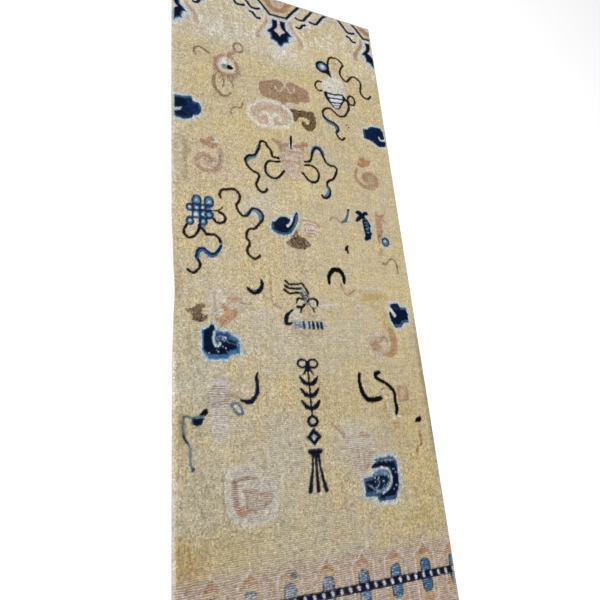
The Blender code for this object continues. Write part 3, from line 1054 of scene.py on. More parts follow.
def endlessKnot():
    body = ((-40.6, 14.6), (-33.6, 15), (-32.8, 12.6), (-32.6, 9.7), (-34.6, 9), (-40, 9), (-40.2, 11.6))
    slab(body, "latticeBlue", 0.97, halo=0.5, haloWool="bone")
    for loop in knotLoops:
        patch(arc(loop["x"], loop["y"], loop["wide"], loop["tall"]), "latticeBlue", 0.97, halo=0.5,
            haloWool="bone")
    for loop in knotLoops:
        line(arc(loop["x"], loop["y"], loop["wide"], loop["tall"]), 0.75, "knotLine", 0.95)
    for height in (14.5, 9.2):
        line(((-40.2, height), (-37, height + 0.1), (-33.2, height + 0.3)), 0.7, "knotLine", 0.95)
    for aside in (-39.7, -37.3, -35.1):
        line(((aside, 14.5), (aside + 0.1, 9.2)), 0.6, "knotLine", 0.85)
    line(((-36.9, 14.4), (-36.7, 10), (-37.2, 6.4)), 0.6, "knotLine", 0.9)
    for loop in knotLoops:
        patch(arc(loop["x"], loop["y"], loop["eye"] * 1.2), "lightBlue", 0.6)
        patch(arc(loop["x"], loop["y"], loop["eye"] * 0.85), "barWhite", 0.85)
    for x, y, size, wool in knotGaps:
        patch(arc(x, y, size * 1.25), "lightBlue", 0.8)
        patch(arc(x, y, size * 0.9), wool, 0.85)
    line(((-40, 12), (-38.4, 12.2), (-36, 12.5), (-33, 12.7), (-30.6, 13.2), (-29.2, 14.5)), 0.55, "ink",
        0.9)
    patch(((-38.9, 5.6), (-38.9, 8.4), (-38, 8.7), (-37.8, 7.2)), "bone", 0.6)
    line(((-36.2, 6.6), (-35.6, 5.9)), 0.9, "steelBlue", 0.8)
    patch(arc(-30.4, 10.4, 1.5, 1.8), "palePink", 0.75)
    line(((-29.3, 19.4), (-28.4, 20.9), (-25.4, 21.6), (-23.8, 21), (-23.2, 19.4)), 0.9, "dustyPink", 0.6)
    line(((-16.6, 8), (-18.4, 6.8), (-19.6, 5.6), (-20, 4)), 0.8, "dustyPink", 0.5)
    ribbon(((-30.3, 12.5), (-28.9, 11.8), (-28.2, 10.4), (-28.8, 8.9), (-30.3, 8.2), (-31.6, 8.6),
        (-32.2, 9.5)))
    patch(arc(-40, 4, 1.9, 2), "palePink", 0.45)
    ribbon(((-41.7, 6.1), (-42.6, 4.5), (-42.5, 2.8), (-41.3, 1.7), (-39.8, 1.8), (-38.6, 3), (-37.6, 5),
        (-37.3, 6.6)))
    line(((-37.5, 6.6), (-36.3, 5.1), (-35.1, 3.6)), 1.05, "blueInk")
    ribbon(((-35.2, 3.4), (-33.6, 3.5), (-32.2, 3.6), (-31, 2.5), (-30.2, 1.3), (-30, -0.5)))
    line(((-30.1, -0.2), (-31, -2.3), (-32.4, -4), (-33.8, -4.2), (-35, -3.2), (-36.1, -2.4),
        (-37.4, -2.7), (-38.2, -4), (-38.4, -6)), (1, 1.7, 1.7, 1.3), "ribbonBlue", 0.97, halo=0.5)
    line(((-30, -0.3), (-30.9, -2), (-32.4, -3.4), (-33.6, -3.6), (-34.8, -2.7), (-36.2, -1.9),
        (-37.7, -2.1), (-38.6, -3.8), (-38.8, -5.4)), 0.8, "navyDark", 0.97)
    ribbon(((-38, -6.3), (-37.4, -7.8), (-37.8, -9.3), (-39, -10.7), (-40.2, -11), (-41.6, -10)))
    line(((-20.8, 13), (-19.4, 13.9), (-18.2, 14.9), (-16.6, 15), (-15.3, 13.7), (-15, 12.2),
        (-15.4, 10.8)), (1, 1.5, 1.3, 1.9, 1.7, 1), "steelBlue", 0.97, halo=0.5, haloWool="rimBlue")
    ribbon(((-29.7, 18.4), (-30, 19.8), (-29.2, 21.5), (-27.5, 22.1), (-25.6, 22.4), (-24.3, 22.5),
        (-23, 21.3), (-22.5, 19.5), (-23.2, 17.6), (-24, 16), (-23.5, 14.2), (-22.4, 12.6), (-21.2, 12.2),
        (-20, 12.6), (-19.2, 14.2), (-18.2, 15.6), (-16.5, 15.8), (-15, 15), (-14.1, 13.5), (-14.4, 11.5),
        (-15.6, 10), (-16.8, 8.4), (-18, 7.5), (-19.3, 7.4), (-20.4, 6.2), (-20.8, 4), (-20, 2.6),
        (-19.8, 1), (-20.6, -0.2), (-20.7, -1.8), (-19.5, -3.4), (-18, -4), (-16.8, -3.3), (-16.2, -2.6)),
        "umberInk")


def middleFruit():
    # a navy cloud with a long stalk and a rose one, over a brown fan
    mist = ((1.2, 8.8), (1.6, 13.6), (3.6, 14.3), (6.6, 13.7), (8.6, 12), (7.6, 11), (8.9, 9), (6.5, 7.7),
        (3.6, 7.5))
    patch(mist, "starPink", 0.6, soft=0.7)
    patch(((0.4, 6.6), (0.2, 11), (1.6, 14.6), (2.2, 11), (2, 7.6)), "palePink", 0.7, soft=0.8)
    for arch in (((1.4, 13.4), (3, 13.7), (5.4, 13.3), (7.6, 12.9), (8.7, 11.9)), ((2, 11.4), (3.4, 12.3),
            (5.6, 12.1), (7.4, 11.2)), ((2.6, 10.6), (2.5, 9), (3.2, 7.7), (4.8, 7.1), (6.4, 7.5)),
            ((3.8, 9.6), (5.6, 9.9), (7.4, 9.3), (9, 8.9)), ((3.6, 8.4), (5.4, 8.6), (7, 8.1))):
        line(arch, 0.55, "umberRose", 0.75)
    line(((7.8, 12.8), (8.5, 11.6)), 0.9, "rust", 0.8)
    line(((0.8, 12.4), (0, 9.8), (-1.4, 8.2)), 1.2, "roseDark", 0.4, soft=0.5)
    fan = ((-5.9, 3), (-5.4, 4.1), (-4, 5), (-3.2, 6.3), (-2.2, 7.6), (-1.6, 9.1), (-0.9, 8.9),
        (-0.5, 7.3), (0.8, 6.5), (2.4, 6.1), (3.3, 4.8), (4.5, 3.6), (3.8, 3.1), (2.4, 2.4), (1.6, 1.3),
        (0.4, 1.6), (-1.5, 1.5), (-3.5, 1.9), (-4.6, 2.7))
    slab(fan, "fanBrown", 0.98)
    speckle(fan, "taupe", 0.22, 0.55, bend=False)
    speckle(fan[3:], "umberInk", 0.25, 0.6, bend=False)
    cloud = ((-10.9, 9), (-10.7, 11.3), (-9.2, 11.8), (-8.3, 13.2), (-6.8, 14.1), (-4.6, 14), (-3.2, 13.2),
        (-2.6, 12.2), (-2.3, 13.4), (-1.6, 15.3), (-0.6, 16.9), (0.2, 16.2), (-0.2, 13.5), (-1, 11.3),
        (-2, 9.5), (-3.3, 7.8), (-5, 6.7), (-7.5, 6.5), (-9.5, 7.3), (-10.9, 8.2))
    slab(cloud, "navyDark", 0.97, halo=1.2, haloWool="lightBlue")
    line(((-10.5, 10.2), (-10.3, 8.4), (-8.6, 7.2), (-6.2, 7)), 1.1, "midBlue", 0.85)
    line(((-6.2, 7), (-4.2, 7.8), (-2.6, 9.6), (-1.4, 11.6)), 0.7, "midBlue", 0.75)
    line(((-1.5, 11.6), (-0.9, 13.2), (-0.5, 15.2)), 0.8, "iris", 0.85)
    line(((-2.7, 14.6), (-2.9, 12.8), (-3.6, 11.4), (-4.6, 10.5)), (1.1, 0.8, 0.7, 1.1), "barWhite", 0.97)


def fishAndBlades():
    # a tied fish, a rose blade with a round ring at its foot, and short dark curls by the middle
    line(((13.6, 15.2), (14.6, 16.7), (16.3, 16.8), (17.6, 15.6), (18.9, 14.9)), 0.7, "umber", 0.55)
    line(((19.2, 15.1), (20.6, 15.9), (21.9, 17.4), (22.4, 19), (22.7, 20.6)), (0.9, 1.2, 1.3, 1),
        "lavender", 0.7)
    line(((19, 15.1), (20.2, 15.9), (21.2, 17.2), (21.9, 18.8), (22.4, 21)), (1, 1.1, 1.1, 1.2),
        "slateDark", 0.97)
    line(((19, 15), (20.4, 15.4), (21.2, 16)), 0.6, "tealBlue", 0.8)
    patch(arc(22.5, 20.9, 0.5), "ink", 0.9)
    fish = ((28, 19.6), (28.3, 17.6), (28.5, 15.6), (28.5, 13.6), (28.8, 12), (28.8, 10.2), (28.3, 9.4),
        (28.4, 8.4), (29.4, 8.2), (30.4, 9), (31.5, 9.2), (31.8, 10.6), (32.3, 11.8), (31.7, 13),
        (32, 15.4), (31.5, 16.6), (30.8, 18), (29.8, 18.8), (29.2, 19.8))
    slab(fish, "navyDark", 0.99, halo=0.6, haloWool="lightBlue")
    line(((30.6, 16.6), (30.6, 14.6), (30.2, 12)), (0.9, 1.4, 0.9), "indigo", 0.8)
    for x, y in ((28.9, 17.8), (29.3, 16.4), (29, 15), (29, 13.4), (29.4, 12), (30.4, 14.2)):
        bar(((x, y), (x + 1.4, y + 0.1)), 0.3, "beadBlue", 0.55)
    patch(arc(27.2, 20.5, 1.5, 1), "blueInk", halo=0.4)
    patch(arc(30.3, 20.5, 1.2, 0.9), "blueInk", halo=0.4)
    line(((27.4, 20.4), (28.4, 18.8)), 2, "blueInk")
    line(((29.9, 20.4), (28.8, 18.8)), 1.5, "blueInk")
    patch(arc(28.5, 19.4, 1.3, 1.2), "blueInk")
    line(((28.2, 19), (26.9, 17.9), (25.8, 16.8)), (1.6, 1.8, 1.3), "blueInk", 0.98)
    line(((35.3, 21.8), (35.8, 20.2), (37.6, 19.9), (39.2, 21.2)), (0.9, 1.6, 1.6, 1.1), "tanDust", 0.85,
        soft=0.4)
    line(((37.2, 19.4), (39.6, 17.8)), (1.6, 0.9), "tanDust", 0.75, soft=0.4)
    line(((36.8, 19.6), (36.2, 17), (36.1, 14), (35.7, 11), (35.2, 8.6)), (2.4, 2.6, 2.3, 1.7), "blade",
        0.95, soft=0.4)
    line(((35, 20.4), (34.9, 16), (34.7, 12), (35, 9.4)), 0.6, "umberRose", 0.6)
    line(((37.4, 17.4), (37.2, 14), (36.8, 10.6)), 0.6, "umberRose", 0.5)
    patch(arc(35.6, 11.2, 0.6, 0.7), "umber", 0.8)
    patch(arc(38.1, 8.7, 1.95, 2.15), "deepTeal", 0.92, halo=0.4)
    patch(arc(38.1, 8.6, 1.2, 1.35), "steelBlue", 0.85, soft=0.4)
    patch(arc(37.9, 9, 0.7, 0.65), "lightBlue", 0.8, soft=0.4)
    line(((35.6, 5.2), (34.5, 3), (34.1, 0.6), (35.2, -0.9)), 1.5, "tanDust", 0.4, soft=0.6)
    line(((35.6, -0.8), (37, -0.9), (38.2, 0.6), (39.8, 1.5), (41.2, 0.8), (41.9, -0.8), (42, -4.4)), 0.9,
        "umber", 0.72)
    slab(((18.6, 2.9), (19.2, 4.6), (20.2, 5.5), (20.7, 5.3), (20.2, 3.6), (20.5, 1.8), (19.7, 1.8),
        (19.4, 2.9)), "blackBrown")
    line(((10.5, -10.8), (10.6, -8.6), (11.6, -6.6), (13, -5.4), (15.2, -5.4), (16.4, -6.8), (16.9, -8.6),
        (16.8, -10.4)), (1.3, 1.7, 2, 2, 1.7, 1.2), "blackInk")
    line(((15.4, -11), (16.2, -13.6), (17.8, -15.1), (20.8, -13)), (1.1, 0.9, 0.8), "rustRose", 0.85)
    line(((15.4, -11), (15.8, -13.2)), 0.9, "rust", 0.5)
    line(((-21.3, -15.1), (-20.4, -16), (-19, -16.5), (-17.5, -16.1), (-16.4, -14.8), (-15.9, -13.2),
        (-16.2, -11.8)), (1, 1.5, 1.7, 1.6, 1.6, 1.4, 0.9), "blackInk")
    line(((-17.2, -15.6), (-16.4, -14.6), (-15.9, -13.2)), 1.4, "navyDark", 0.95)
    bar(((-19.4, -15.9), (-18.4, -16)), 0.35, "lavender", 0.7)
    line(((-12.8, -8), (-12.9, -13), (-12.6, -19), (-10.6, -21.4), (-8, -21.8)), (0.8, 1, 0.8, 0.5),
        "umberRose", 0.65)
    line(((-17.4, -10), (-17, -8), (-15, -6.8), (-13, -7.4), (-12.7, -10)), 1, "mustard", 0.45)


def leafAndScroll():
    # a brown leaf, a worn rose scroll, and the navy cloud under them
    leaf = ((-42.6, -23.3), (-41.5, -23.6), (-40.4, -23.2), (-39.5, -22.7), (-38.8, -21.8), (-37, -21.5),
        (-36, -21.9), (-36.2, -22.8), (-37.1, -23.3), (-37, -24.7), (-36.3, -25.4), (-35.1, -25.2),
        (-35.2, -26.5), (-36.2, -27.3), (-37.5, -27.8), (-39, -27.6), (-40.4, -27.1), (-40.1, -26),
        (-40.7, -25), (-42, -24.6))
    slab(leaf, "fanBrown", 0.95)
    speckle(leaf, "taupe", 0.25, 0.55, bend=False)
    speckle(leaf[6:], "umberInk", 0.3, 0.55, bend=False)
    mist = ((-34.6, -16), (-30, -16), (-24, -17.5), (-20.6, -19.6), (-22, -22.6), (-25, -26), (-29.6, -30),
        (-33.4, -27), (-34.8, -21))
    patch(mist, "cloudPink", 0.5, soft=2.4)
    patch(((-34.8, -16), (-29.8, -16), (-28.6, -18), (-29.2, -20.4), (-29.6, -24.4), (-33, -26.4),
        (-34.8, -22)), "bone", 0.55, soft=1)
    line(((-34.9, -15.6), (-34.9, -22), (-34.2, -26)), 0.6, "starPink", 0.6)
    line(((-33, -17.6), (-32.7, -20.6), (-32.7, -25.2)), 1.1, "taupe", 0.85, soft=0.4)
    line(((-33.4, -17.2), (-30, -17.6), (-26.4, -17.9)), 0.7, "dustyPink", 0.4)
    patch(((-28.8, -18.9), (-26, -18.5), (-24, -18.9), (-24.2, -19.9), (-26.6, -20.5), (-28, -19.9)),
        "copper", 0.9)
    line(((-28.4, -19.4), (-26, -19.4), (-24.2, -19.5)), 0.35, "umberRose", 0.5)
    line(((-24.2, -20.5), (-22.5, -20.8), (-20.4, -20.5)), 0.6, "umber", 0.65)
    hook = ((-30.9, -21.2), (-29.5, -21), (-28.7, -22), (-27.6, -23), (-25.4, -22.7), (-25.3, -24.6),
        (-26.2, -26.2), (-28.2, -27.6), (-30.2, -29.2), (-31.8, -28.2), (-32.8, -26.2), (-31, -25.7),
        (-29.9, -24.8), (-30.1, -23))
    patch(hook, "copper", 0.85, soft=0.5)
    speckle(hook, "tanDust", 0.3, 0.5)
    silhouette = ((-37.3, -30.3), (-35, -29.4), (-34.4, -28.3), (-33.2, -28.5), (-33, -30.2), (-31, -30.7),
        (-28.6, -30.8), (-27.5, -31.9), (-25.3, -33), (-24.8, -35.6), (-24.9, -37.7), (-27.4, -38.2),
        (-28.5, -38.4), (-29.2, -39.7), (-35.4, -39.8), (-36.3, -38.6), (-37.3, -37))
    slab(silhouette, "cloudBlue", 0.98, halo=1.5, haloWool="lightBlue")
    slab(((-36.7, -30.3), (-35, -29.6), (-34.5, -28.4), (-33.3, -28.6), (-33.1, -29.9), (-33.9, -30.8),
        (-34, -34), (-33.2, -35.8), (-31.8, -36.1), (-31.6, -33.9), (-28.8, -33.2), (-26.1, -34),
        (-26, -36.4), (-28.6, -37), (-29.4, -38.3), (-35.6, -38.3), (-36.8, -36.6)), "navyDark", 0.98)
    patch(((-33, -31.8), (-31.6, -31.1), (-29.6, -31.2), (-28.6, -32.2), (-28.8, -33.4), (-31.4, -34),
        (-32.4, -34.4), (-33.1, -33.4)), "indigo", 0.95)
    patch(arc(-32.2, -32.9, 0.8), "slate", 0.6)
    line(((-33.1, -30.8), (-33.5, -32.6), (-33.3, -34.6), (-32.6, -35.6), (-31.6, -35.2), (-31.6, -34.6)),
        (0.6, 0.8, 0.8, 0.9), "rimBlue", 0.95)
    speckle(((-31.6, -33.8), (-26.2, -34), (-26, -36.2), (-30, -36.6)), "beadBlue", 0.10, 0.6)
    speckle(((-36.4, -37.2), (-29.8, -36.6), (-29.8, -38), (-36, -38.2)), "beadBlue", 0.14, 0.5)
    speckle(((-32, -31), (-28.6, -31), (-28.4, -33.4), (-32, -33.6)), "silver", 0.12, 0.6)
    line(((-31.6, -32.3), (-30.6, -32.4), (-29.4, -32.8)), 0.6, "barWhite", 0.5)
    line(((-28.6, -34.4), (-26.6, -34.9)), 0.5, "slate", 0.5)


beadRow = table("x wide wool hold", (
    (-4.6, 0.9, "slate", 0.8),
    (-1.2, 1.05, "deepTeal", 0.98),
    (0.85, 1, "deepTeal", 0.98),
    (2.4, 1.1, "navyDark", 0.99),
    (4.05, 1.1, "navyDark", 0.99),
    (5.6, 1.1, "navyDark", 0.99),
))


def pouch():
    # a drawstring pouch with three tassel cords, and a row of beads at its foot
    line(((-7.1, -11.4), (-6.4, -12), (-5.6, -12.6), (-3, -12.3), (-0.8, -12.1), (0, -13), (0.8, -14.2),
        (1.5, -15.4)), (1.1, 0.9, 0.9, 1, 1.1), "ink", 0.97)
    line(((-7.3, -13.3), (-6.3, -13.8), (-5, -14.1), (-3, -14), (-1.2, -13.9)), (1.1, 0.95), "ink", 0.98)
    line(((-0.9, -14.2), (0.4, -15.8), (1.4, -17.2)), 0.8, "slate", 0.95)
    line(((-7.7, -14.8), (-6.6, -15.6), (-5.6, -16), (-3.5, -15.6), (-1.7, -15.5), (-1.1, -16.4),
        (-0.6, -17.4), (0.2, -18.4)), (1.1, 0.95, 0.95, 0.85), "ink", 0.97)
    patch(((-2, -21.4), (-0.6, -20), (2.2, -20.2), (3.4, -22), (3.4, -25.4), (-1.8, -25.6)), "tanDust",
        0.35, soft=1)
    patch(((-4.4, -22), (-2.6, -21.8), (-1.8, -24), (-3, -25.4), (-4.8, -24.6)), "lavender", 0.55,
        soft=0.8)
    patch(arc(3, -19.3, 1.5, 1.7), "palePatch", 0.8)
    patch(arc(-1.8, -19.2, 1.3, 1.1), "palePatch", 0.8)
    patch(((-2, -14.6), (0.2, -14), (1.4, -16.4), (1, -18.6), (-0.4, -18.6), (-1.4, -16.8)), "lavender",
        0.55, soft=0.5)
    for x, y in ((-1.3, -15.9), (1, -15), (-0.2, -17), (1.4, -16.4), (0.5, -16.4), (-0.9, -15.4),
            (0.1, -15), (-0.3, -16.4), (0.8, -16.2), (0.3, -17.4), (1.3, -17.2)):
        bar(((x - 0.25, y + 0.2), (x + 0.25, y - 0.3)), 0.5, "oliveInk", 0.8)
    patch(arc(0.5, -18.7, 1.1, 0.9), "slate", 0.9)
    line(((0.6, -17.2), (1.5, -17), (1.4, -16.2)), 0.6, "slate", 0.6)
    line(((0.9, -18.7), (1.6, -17.9), (3, -17.4), (4.3, -17.8), (4.8, -18.8), (4.6, -20)), (0.7, 0.8, 1.1,
        1.2, 0.8), "ink", 0.95)
    line(((3.9, -20.9), (2.9, -21.1), (2, -20.2), (1.4, -19.2)), 0.45, "oliveInk", 0.75)
    line(((-0.7, -18), (-2.2, -17.6), (-3.1, -18.1), (-3.4, -19.3)), (0.8, 0.9, 0.7), "ink", 0.93)
    line(((-3.3, -20.8), (-2.4, -20.9), (-1.2, -20.7), (-0.4, -19.8)), (1, 1.3, 1), "ink", 0.97)
    line(((-1.5, -20.9), (-1.9, -21.8), (-2.1, -22.7)), 0.8, "ink", 0.9)
    line(((0.6, -19.2), (0.8, -21)), 0.7, "slate", 0.8)
    line(((2.7, -21), (3.2, -22.4)), 0.7, "ink", 0.85)
    patch(arc(1.2, -21.6, 1.5, 1.4), "petalGold", 0.5, soft=0.6)
    line(((-5, -22), (-6.4, -23), (-7.4, -24.2), (-7.9, -25.8), (-7.8, -27.1), (-6.6, -27.2),
        (-5.6, -26.7)), (0.6, 1.1, 1.7, 1.7, 1.1, 0.8), "navyDark", 0.98)
    patch(((-5.6, -28.6), (-5.8, -30.6), (-2, -31.8), (3, -31.4), (5.4, -30.4), (5.6, -28.6)), "dustyPink",
        0.5, soft=1.2)
    bar(((-4.6, -27.3), (5.9, -27.3)), 2.5, "beadBlue", 0.85, soft=0.6)
    for bead in beadRow:
        bar(((bead["x"] - 0.1, -26.4), (bead["x"] + 0.05, -28.4)), bead["wide"], bead["wool"],
            bead["hold"])
    line(((-3.6, -27.7), (-2.4, -28.1)), 1.1, "iris", 0.85)
    line(((-3, -26.6), (-2.7, -27.4)), 0.7, "tealBlue", 0.8)


def rightClouds():
    # a navy cloud by the right edge, and a worn rose curl under it
    cloud = ((35.9, -17.8), (38, -17.2), (39.8, -17.3), (40.3, -18.7), (43.2, -18.8), (43.3, -20.4),
        (43.7, -21), (43.4, -24.8), (41.4, -25), (40.5, -25.9), (39.7, -26.9), (37, -27.1), (36.3, -25.6),
        (35.5, -24.6), (35, -21.5), (35.6, -20.6), (35.9, -19))
    slab(cloud, "navyDark", 0.99, halo=1.5, haloWool="rimBlue")
    patch(((36.2, -18), (39.6, -17.7), (39.8, -19.4), (37.6, -20), (36.4, -19.4)), "cloudNavy", 0.55)
    line(((40.7, -19.2), (43, -19.3)), 1, "midBlue", 0.9)
    line(((37, -26.3), (39.4, -26.2), (40.6, -25)), 1.2, "midBlue", 0.85)
    line(((40.8, -24.4), (43, -24.3)), 0.9, "midBlue", 0.85)
    line(((35.8, -19.6), (36.6, -20.8), (37.4, -22.2)), (0.9, 1.2, 1.4), "lavender", 0.97)
    line(((34, -27.8), (35, -29.2), (35.4, -31.5), (35.4, -34), (34.6, -36.2), (33, -37.3), (30.6, -37.4)),
        (2, 3, 3, 3, 2.6, 1.8), "hookTan", 0.98, soft=0.5)
    patch(((24.4, -30.6), (28, -29), (31.6, -28.6), (33.6, -31), (33, -36), (29, -38.6), (25, -37)),
        "cloudPink", 0.5, soft=2)
    line(((25, -33.8), (27.5, -33.2), (29.8, -32.2), (31.4, -30.8)), 1.2, "tanDust", 0.8, soft=0.5)
    patch(((25, -32.6), (28.4, -33.2), (30, -35.2), (27.6, -36.6), (25, -35)), "tanDust", 0.7, soft=0.7)
    line(((27, -36.8), (31.4, -36.2)), 1, "dustyPink", 0.6)
    line(((26.6, -33.6), (27.8, -31.8), (30, -31), (32.2, -31.4), (32.4, -33.4)), 0.7, "umberRose", 0.65)
    line(((26, -33.6), (27.6, -34.2), (26.6, -35.6)), 0.8, "umberRose", 0.7)
    line(((25, -34.6), (24.6, -36.6), (26.6, -38.4), (30, -38.6)), 0.8, "starPink", 0.5)


def lowerEmblems():
    # two tasselled emblems, the left one worn to its wefts
    slab(((-34.2, -46.7), (-30.4, -46.7), (-30.4, -48.2), (-34.2, -48.2)), "lavender", 0.85, soft=0.5)
    slab(((-35.9, -50), (-34.4, -50), (-34.4, -48.1), (-30.2, -48.1), (-30.2, -50), (-29.1, -50.2),
        (-29.1, -54.6), (-35.9, -54.8)), "taupe", 0.92, soft=0.5)
    slab(((-34.9, -54.6), (-30, -54.6), (-30.1, -62), (-30.8, -65.2), (-34.4, -65), (-34.6, -60)),
        "paleLilac", 0.85, soft=0.6)
    thin(((-34, -46), (-29, -46), (-29, -65), (-35, -65)), 1)
    axis, step, upperRows, lowerRows = -32.4, 0.78, 9, 12
    for number in range(upperRows):
        y, reach = -48.4 - step * number, 2.1 if number < 2 else 3.4
        for up, wide, wool, hold in ((0, 0.36, "umberRose", 0.75), (-step / 2, 0.3, "white", 0.8)):
            bar(((axis - reach, y + up), (axis + reach, y + up)), wide, wool, hold)
    for number in range(lowerRows):
        y = -55.6 - step * number
        for up, wide, wool, hold in ((0, 0.34, "dustyPink", 0.5), (-step / 2, 0.3, "white", 0.6)):
            bar(((axis - 2.2, y + up), (axis + 2.2, y + up)), wide, wool, hold)
    patch(((-29.6, -50), (-26, -49.8), (-24.8, -51), (-25.6, -52.4), (-28, -52.2), (-29.6, -51.6)),
        "umber", 0.3, soft=0.8)
    line(((-19.4, -44.2), (-19.8, -46), (-19.7, -48.5), (-19.8, -50.5), (-20.6, -51.8), (-21.9, -53.2),
        (-23.2, -53.4), (-25.2, -52.8)), (0.7, 1.2, 1.35, 1.4, 1.4, 1.7, 1.5, 1), "blueInk", 0.98)
    ring = ((-28.6, -54), (-26.6, -53.6), (-25.5, -54.9), (-24.9, -56.8), (-26.4, -57.3), (-27.6, -55.9))
    slab(ring, "bone", 0.9)
    bar([*ring, ring[0]], 0.9, "inkTeal", 0.97)
    slab(((-36, -54.8), (-35.8, -56.4), (-37, -57.5), (-38.9, -57.5), (-37.4, -55.2)), "ink", 0.98)
    slab(((-37, -57.7), (-38, -59.9), (-39.8, -60.1), (-41, -59.1), (-40.9, -57.7)), "navyDark", 0.98)
    line(((-40.8, -57.7), (-40.6, -59.2)), 0.6, "tealBlue", 0.8)
    line(((-37.2, -57.5), (-40.6, -57.5), (-42.9, -57.2), (-43.4, -58.8), (-43.4, -62.6)), 0.7, "inkTeal",
        0.95)
    line(((-43.4, -62.6), (-42.7, -64), (-41.7, -65.3)), 0.75, "blueInk", 0.85)
    line(((-41.7, -65.2), (-41.3, -67.6), (-41.4, -70), (-41, -71.6)), 0.8, "steelBlue", 0.9)
    patch(arc(-40.7, -72.2, 0.65, 0.8), "deepTeal", 0.9)
    line(((18.7, -44.7), (18.3, -47), (18.6, -49.5), (19.1, -51.4), (20.5, -53.4), (23, -53.9),
        (26.4, -53.3)), (1.25, 1.4, 1.6, 1.75, 1.9, 2, 1.7), "blackInk", 0.99)
    line(((26.9, -44.2), (25.6, -44.6), (25.3, -45.9), (26.8, -46.9), (29, -48), (31, -49.6),
        (32.3, -51.5), (32.2, -54), (32.4, -57), (31.9, -58.9)), (1.5, 1.7, 1.55, 1.35, 1.35, 1.5, 1.35,
        1.15, 1.65, 1.45), "blackInk", 0.99)
    line(((30.9, -58.6), (30.6, -60.6)), 0.9, "white", 0.8, soft=0.4)
    line(((32.3, -59.6), (33.6, -60.2)), 0.8, "white", 0.6, soft=0.4)
    block = ((33.7, -49.4), (34.6, -48.8), (37.4, -48.8), (38.3, -49.8), (38.3, -53.6), (37.6, -54.6),
        (34.6, -54.7), (33.6, -53.8))
    slab(block, "tan", 0.72, soft=0.4)
    patch(((34.9, -50.4), (36.6, -50.4), (36.7, -53), (34.9, -53.2)), "palePink", 0.7, soft=0.5)
    line(((37.9, -49.8), (37.9, -53.8), (36.8, -54.4), (34.4, -54.5)), 0.7, "tanDust", 0.8)
    patch(((26.6, -50.4), (29.8, -50.4), (30.8, -52.6), (28.6, -54), (26.8, -53.2)), "palePink", 0.45,
        soft=0.8)
    patch(arc(29.2, -52.4, 1, 0.9), "mustard", 0.6)
    line(((27.2, -54.6), (27.2, -57.6)), 1.2, "tan", 0.35, soft=0.5)
    line(((28.8, -54.8), (28.6, -57.6)), 1.2, "starPink", 0.8)
    line(((26.6, -52.6), (26.8, -50.6), (28.4, -49.8), (30.2, -50.4)), 0.6, "slate", 0.5)
    line(((28.2, -55.6), (28, -58.6), (29.4, -61)), 0.5, "umberRose", 0.5)
    patch(((29.8, -61.6), (33, -61.4), (32.6, -63.6), (30.4, -63.8)), "tan", 0.5, soft=0.8)
    patch(((34.6, -57.4), (39, -57.2), (38.4, -59), (35, -59.2)), "mustard", 0.6, soft=0.8)
    slab(((39.2, -62.3), (40.2, -60.8), (42.2, -60), (42.6, -61.3), (41.6, -62.4)), "blackInk")
    line(((40.8, -65.6), (41, -68), (40.6, -70), (39.2, -71), (38.5, -72.4)), 1, "umber", 0.62)


# the knotted cord down the middle of the lower field: leaf pairs and beads on one stem
cordLook = {
    "x": -1.2,
    "top": -41,
    "leafFirst": -46.6,
    "leafStep": 4,
    "leafPairs": 3,
    "stemFoot": -58.4,
    "ring": -60.2,
    "diamond": -65.2,
    "head": -69.7,
}


def tasselCord():
    look = cordLook
    x, top = look["x"], look["top"]
    for sideways in (-1, 1):
        line(arc(x + sideways * 2, top, 1.7, 1.4), 0.85, "blueInk")
        line(((x, top - 1.2), (x + sideways * 1.8, top - 3.6)), (1.2, 0.6), "blueInk")
    patch(arc(x, top, 0.9, 1.1), "blueInk")
    bar(((x, top - 1), (x, look["stemFoot"])), 0.75, "blueInk")
    for number in range(look["leafPairs"]):
        y = look["leafFirst"] - number * look["leafStep"]
        for sideways in (-1, 1):
            leaf = ((x, y - 1.5), (x + sideways * 1.7, y - 0.9), (x + sideways * 3.3, y + 1.1))
            line(leaf, (1.1, 1.7, 0.7), "blueInk")
    line(arc(x, look["ring"], 1.6, 1.5), 1.1, "blueInk")
    patch(arc(x, look["ring"], 0.6), "lightBlue", 0.8)
    y = look["diamond"]
    for tall, wide, wool, hold in ((2.9, 2.8, "blueInk", 1), (1.1, 1.1, "lightBlue", 0.8)):
        slab(((x, y + tall), (x + wide, y), (x, y - tall), (x - wide, y)), wool, hold)
    y = look["head"]
    bar(((x - 2, y), (x + 2, y)), 1.5, "blueInk")
    for sideways in (-1, 0, 1):
        strand = ((x + sideways, y - 0.5), (x + sideways * 1.4, y - 5.3), (x + sideways * 2.8, y - 11.8))
        line(strand, (1.1, 0.9, 1.6), "blueInk", 0.97)


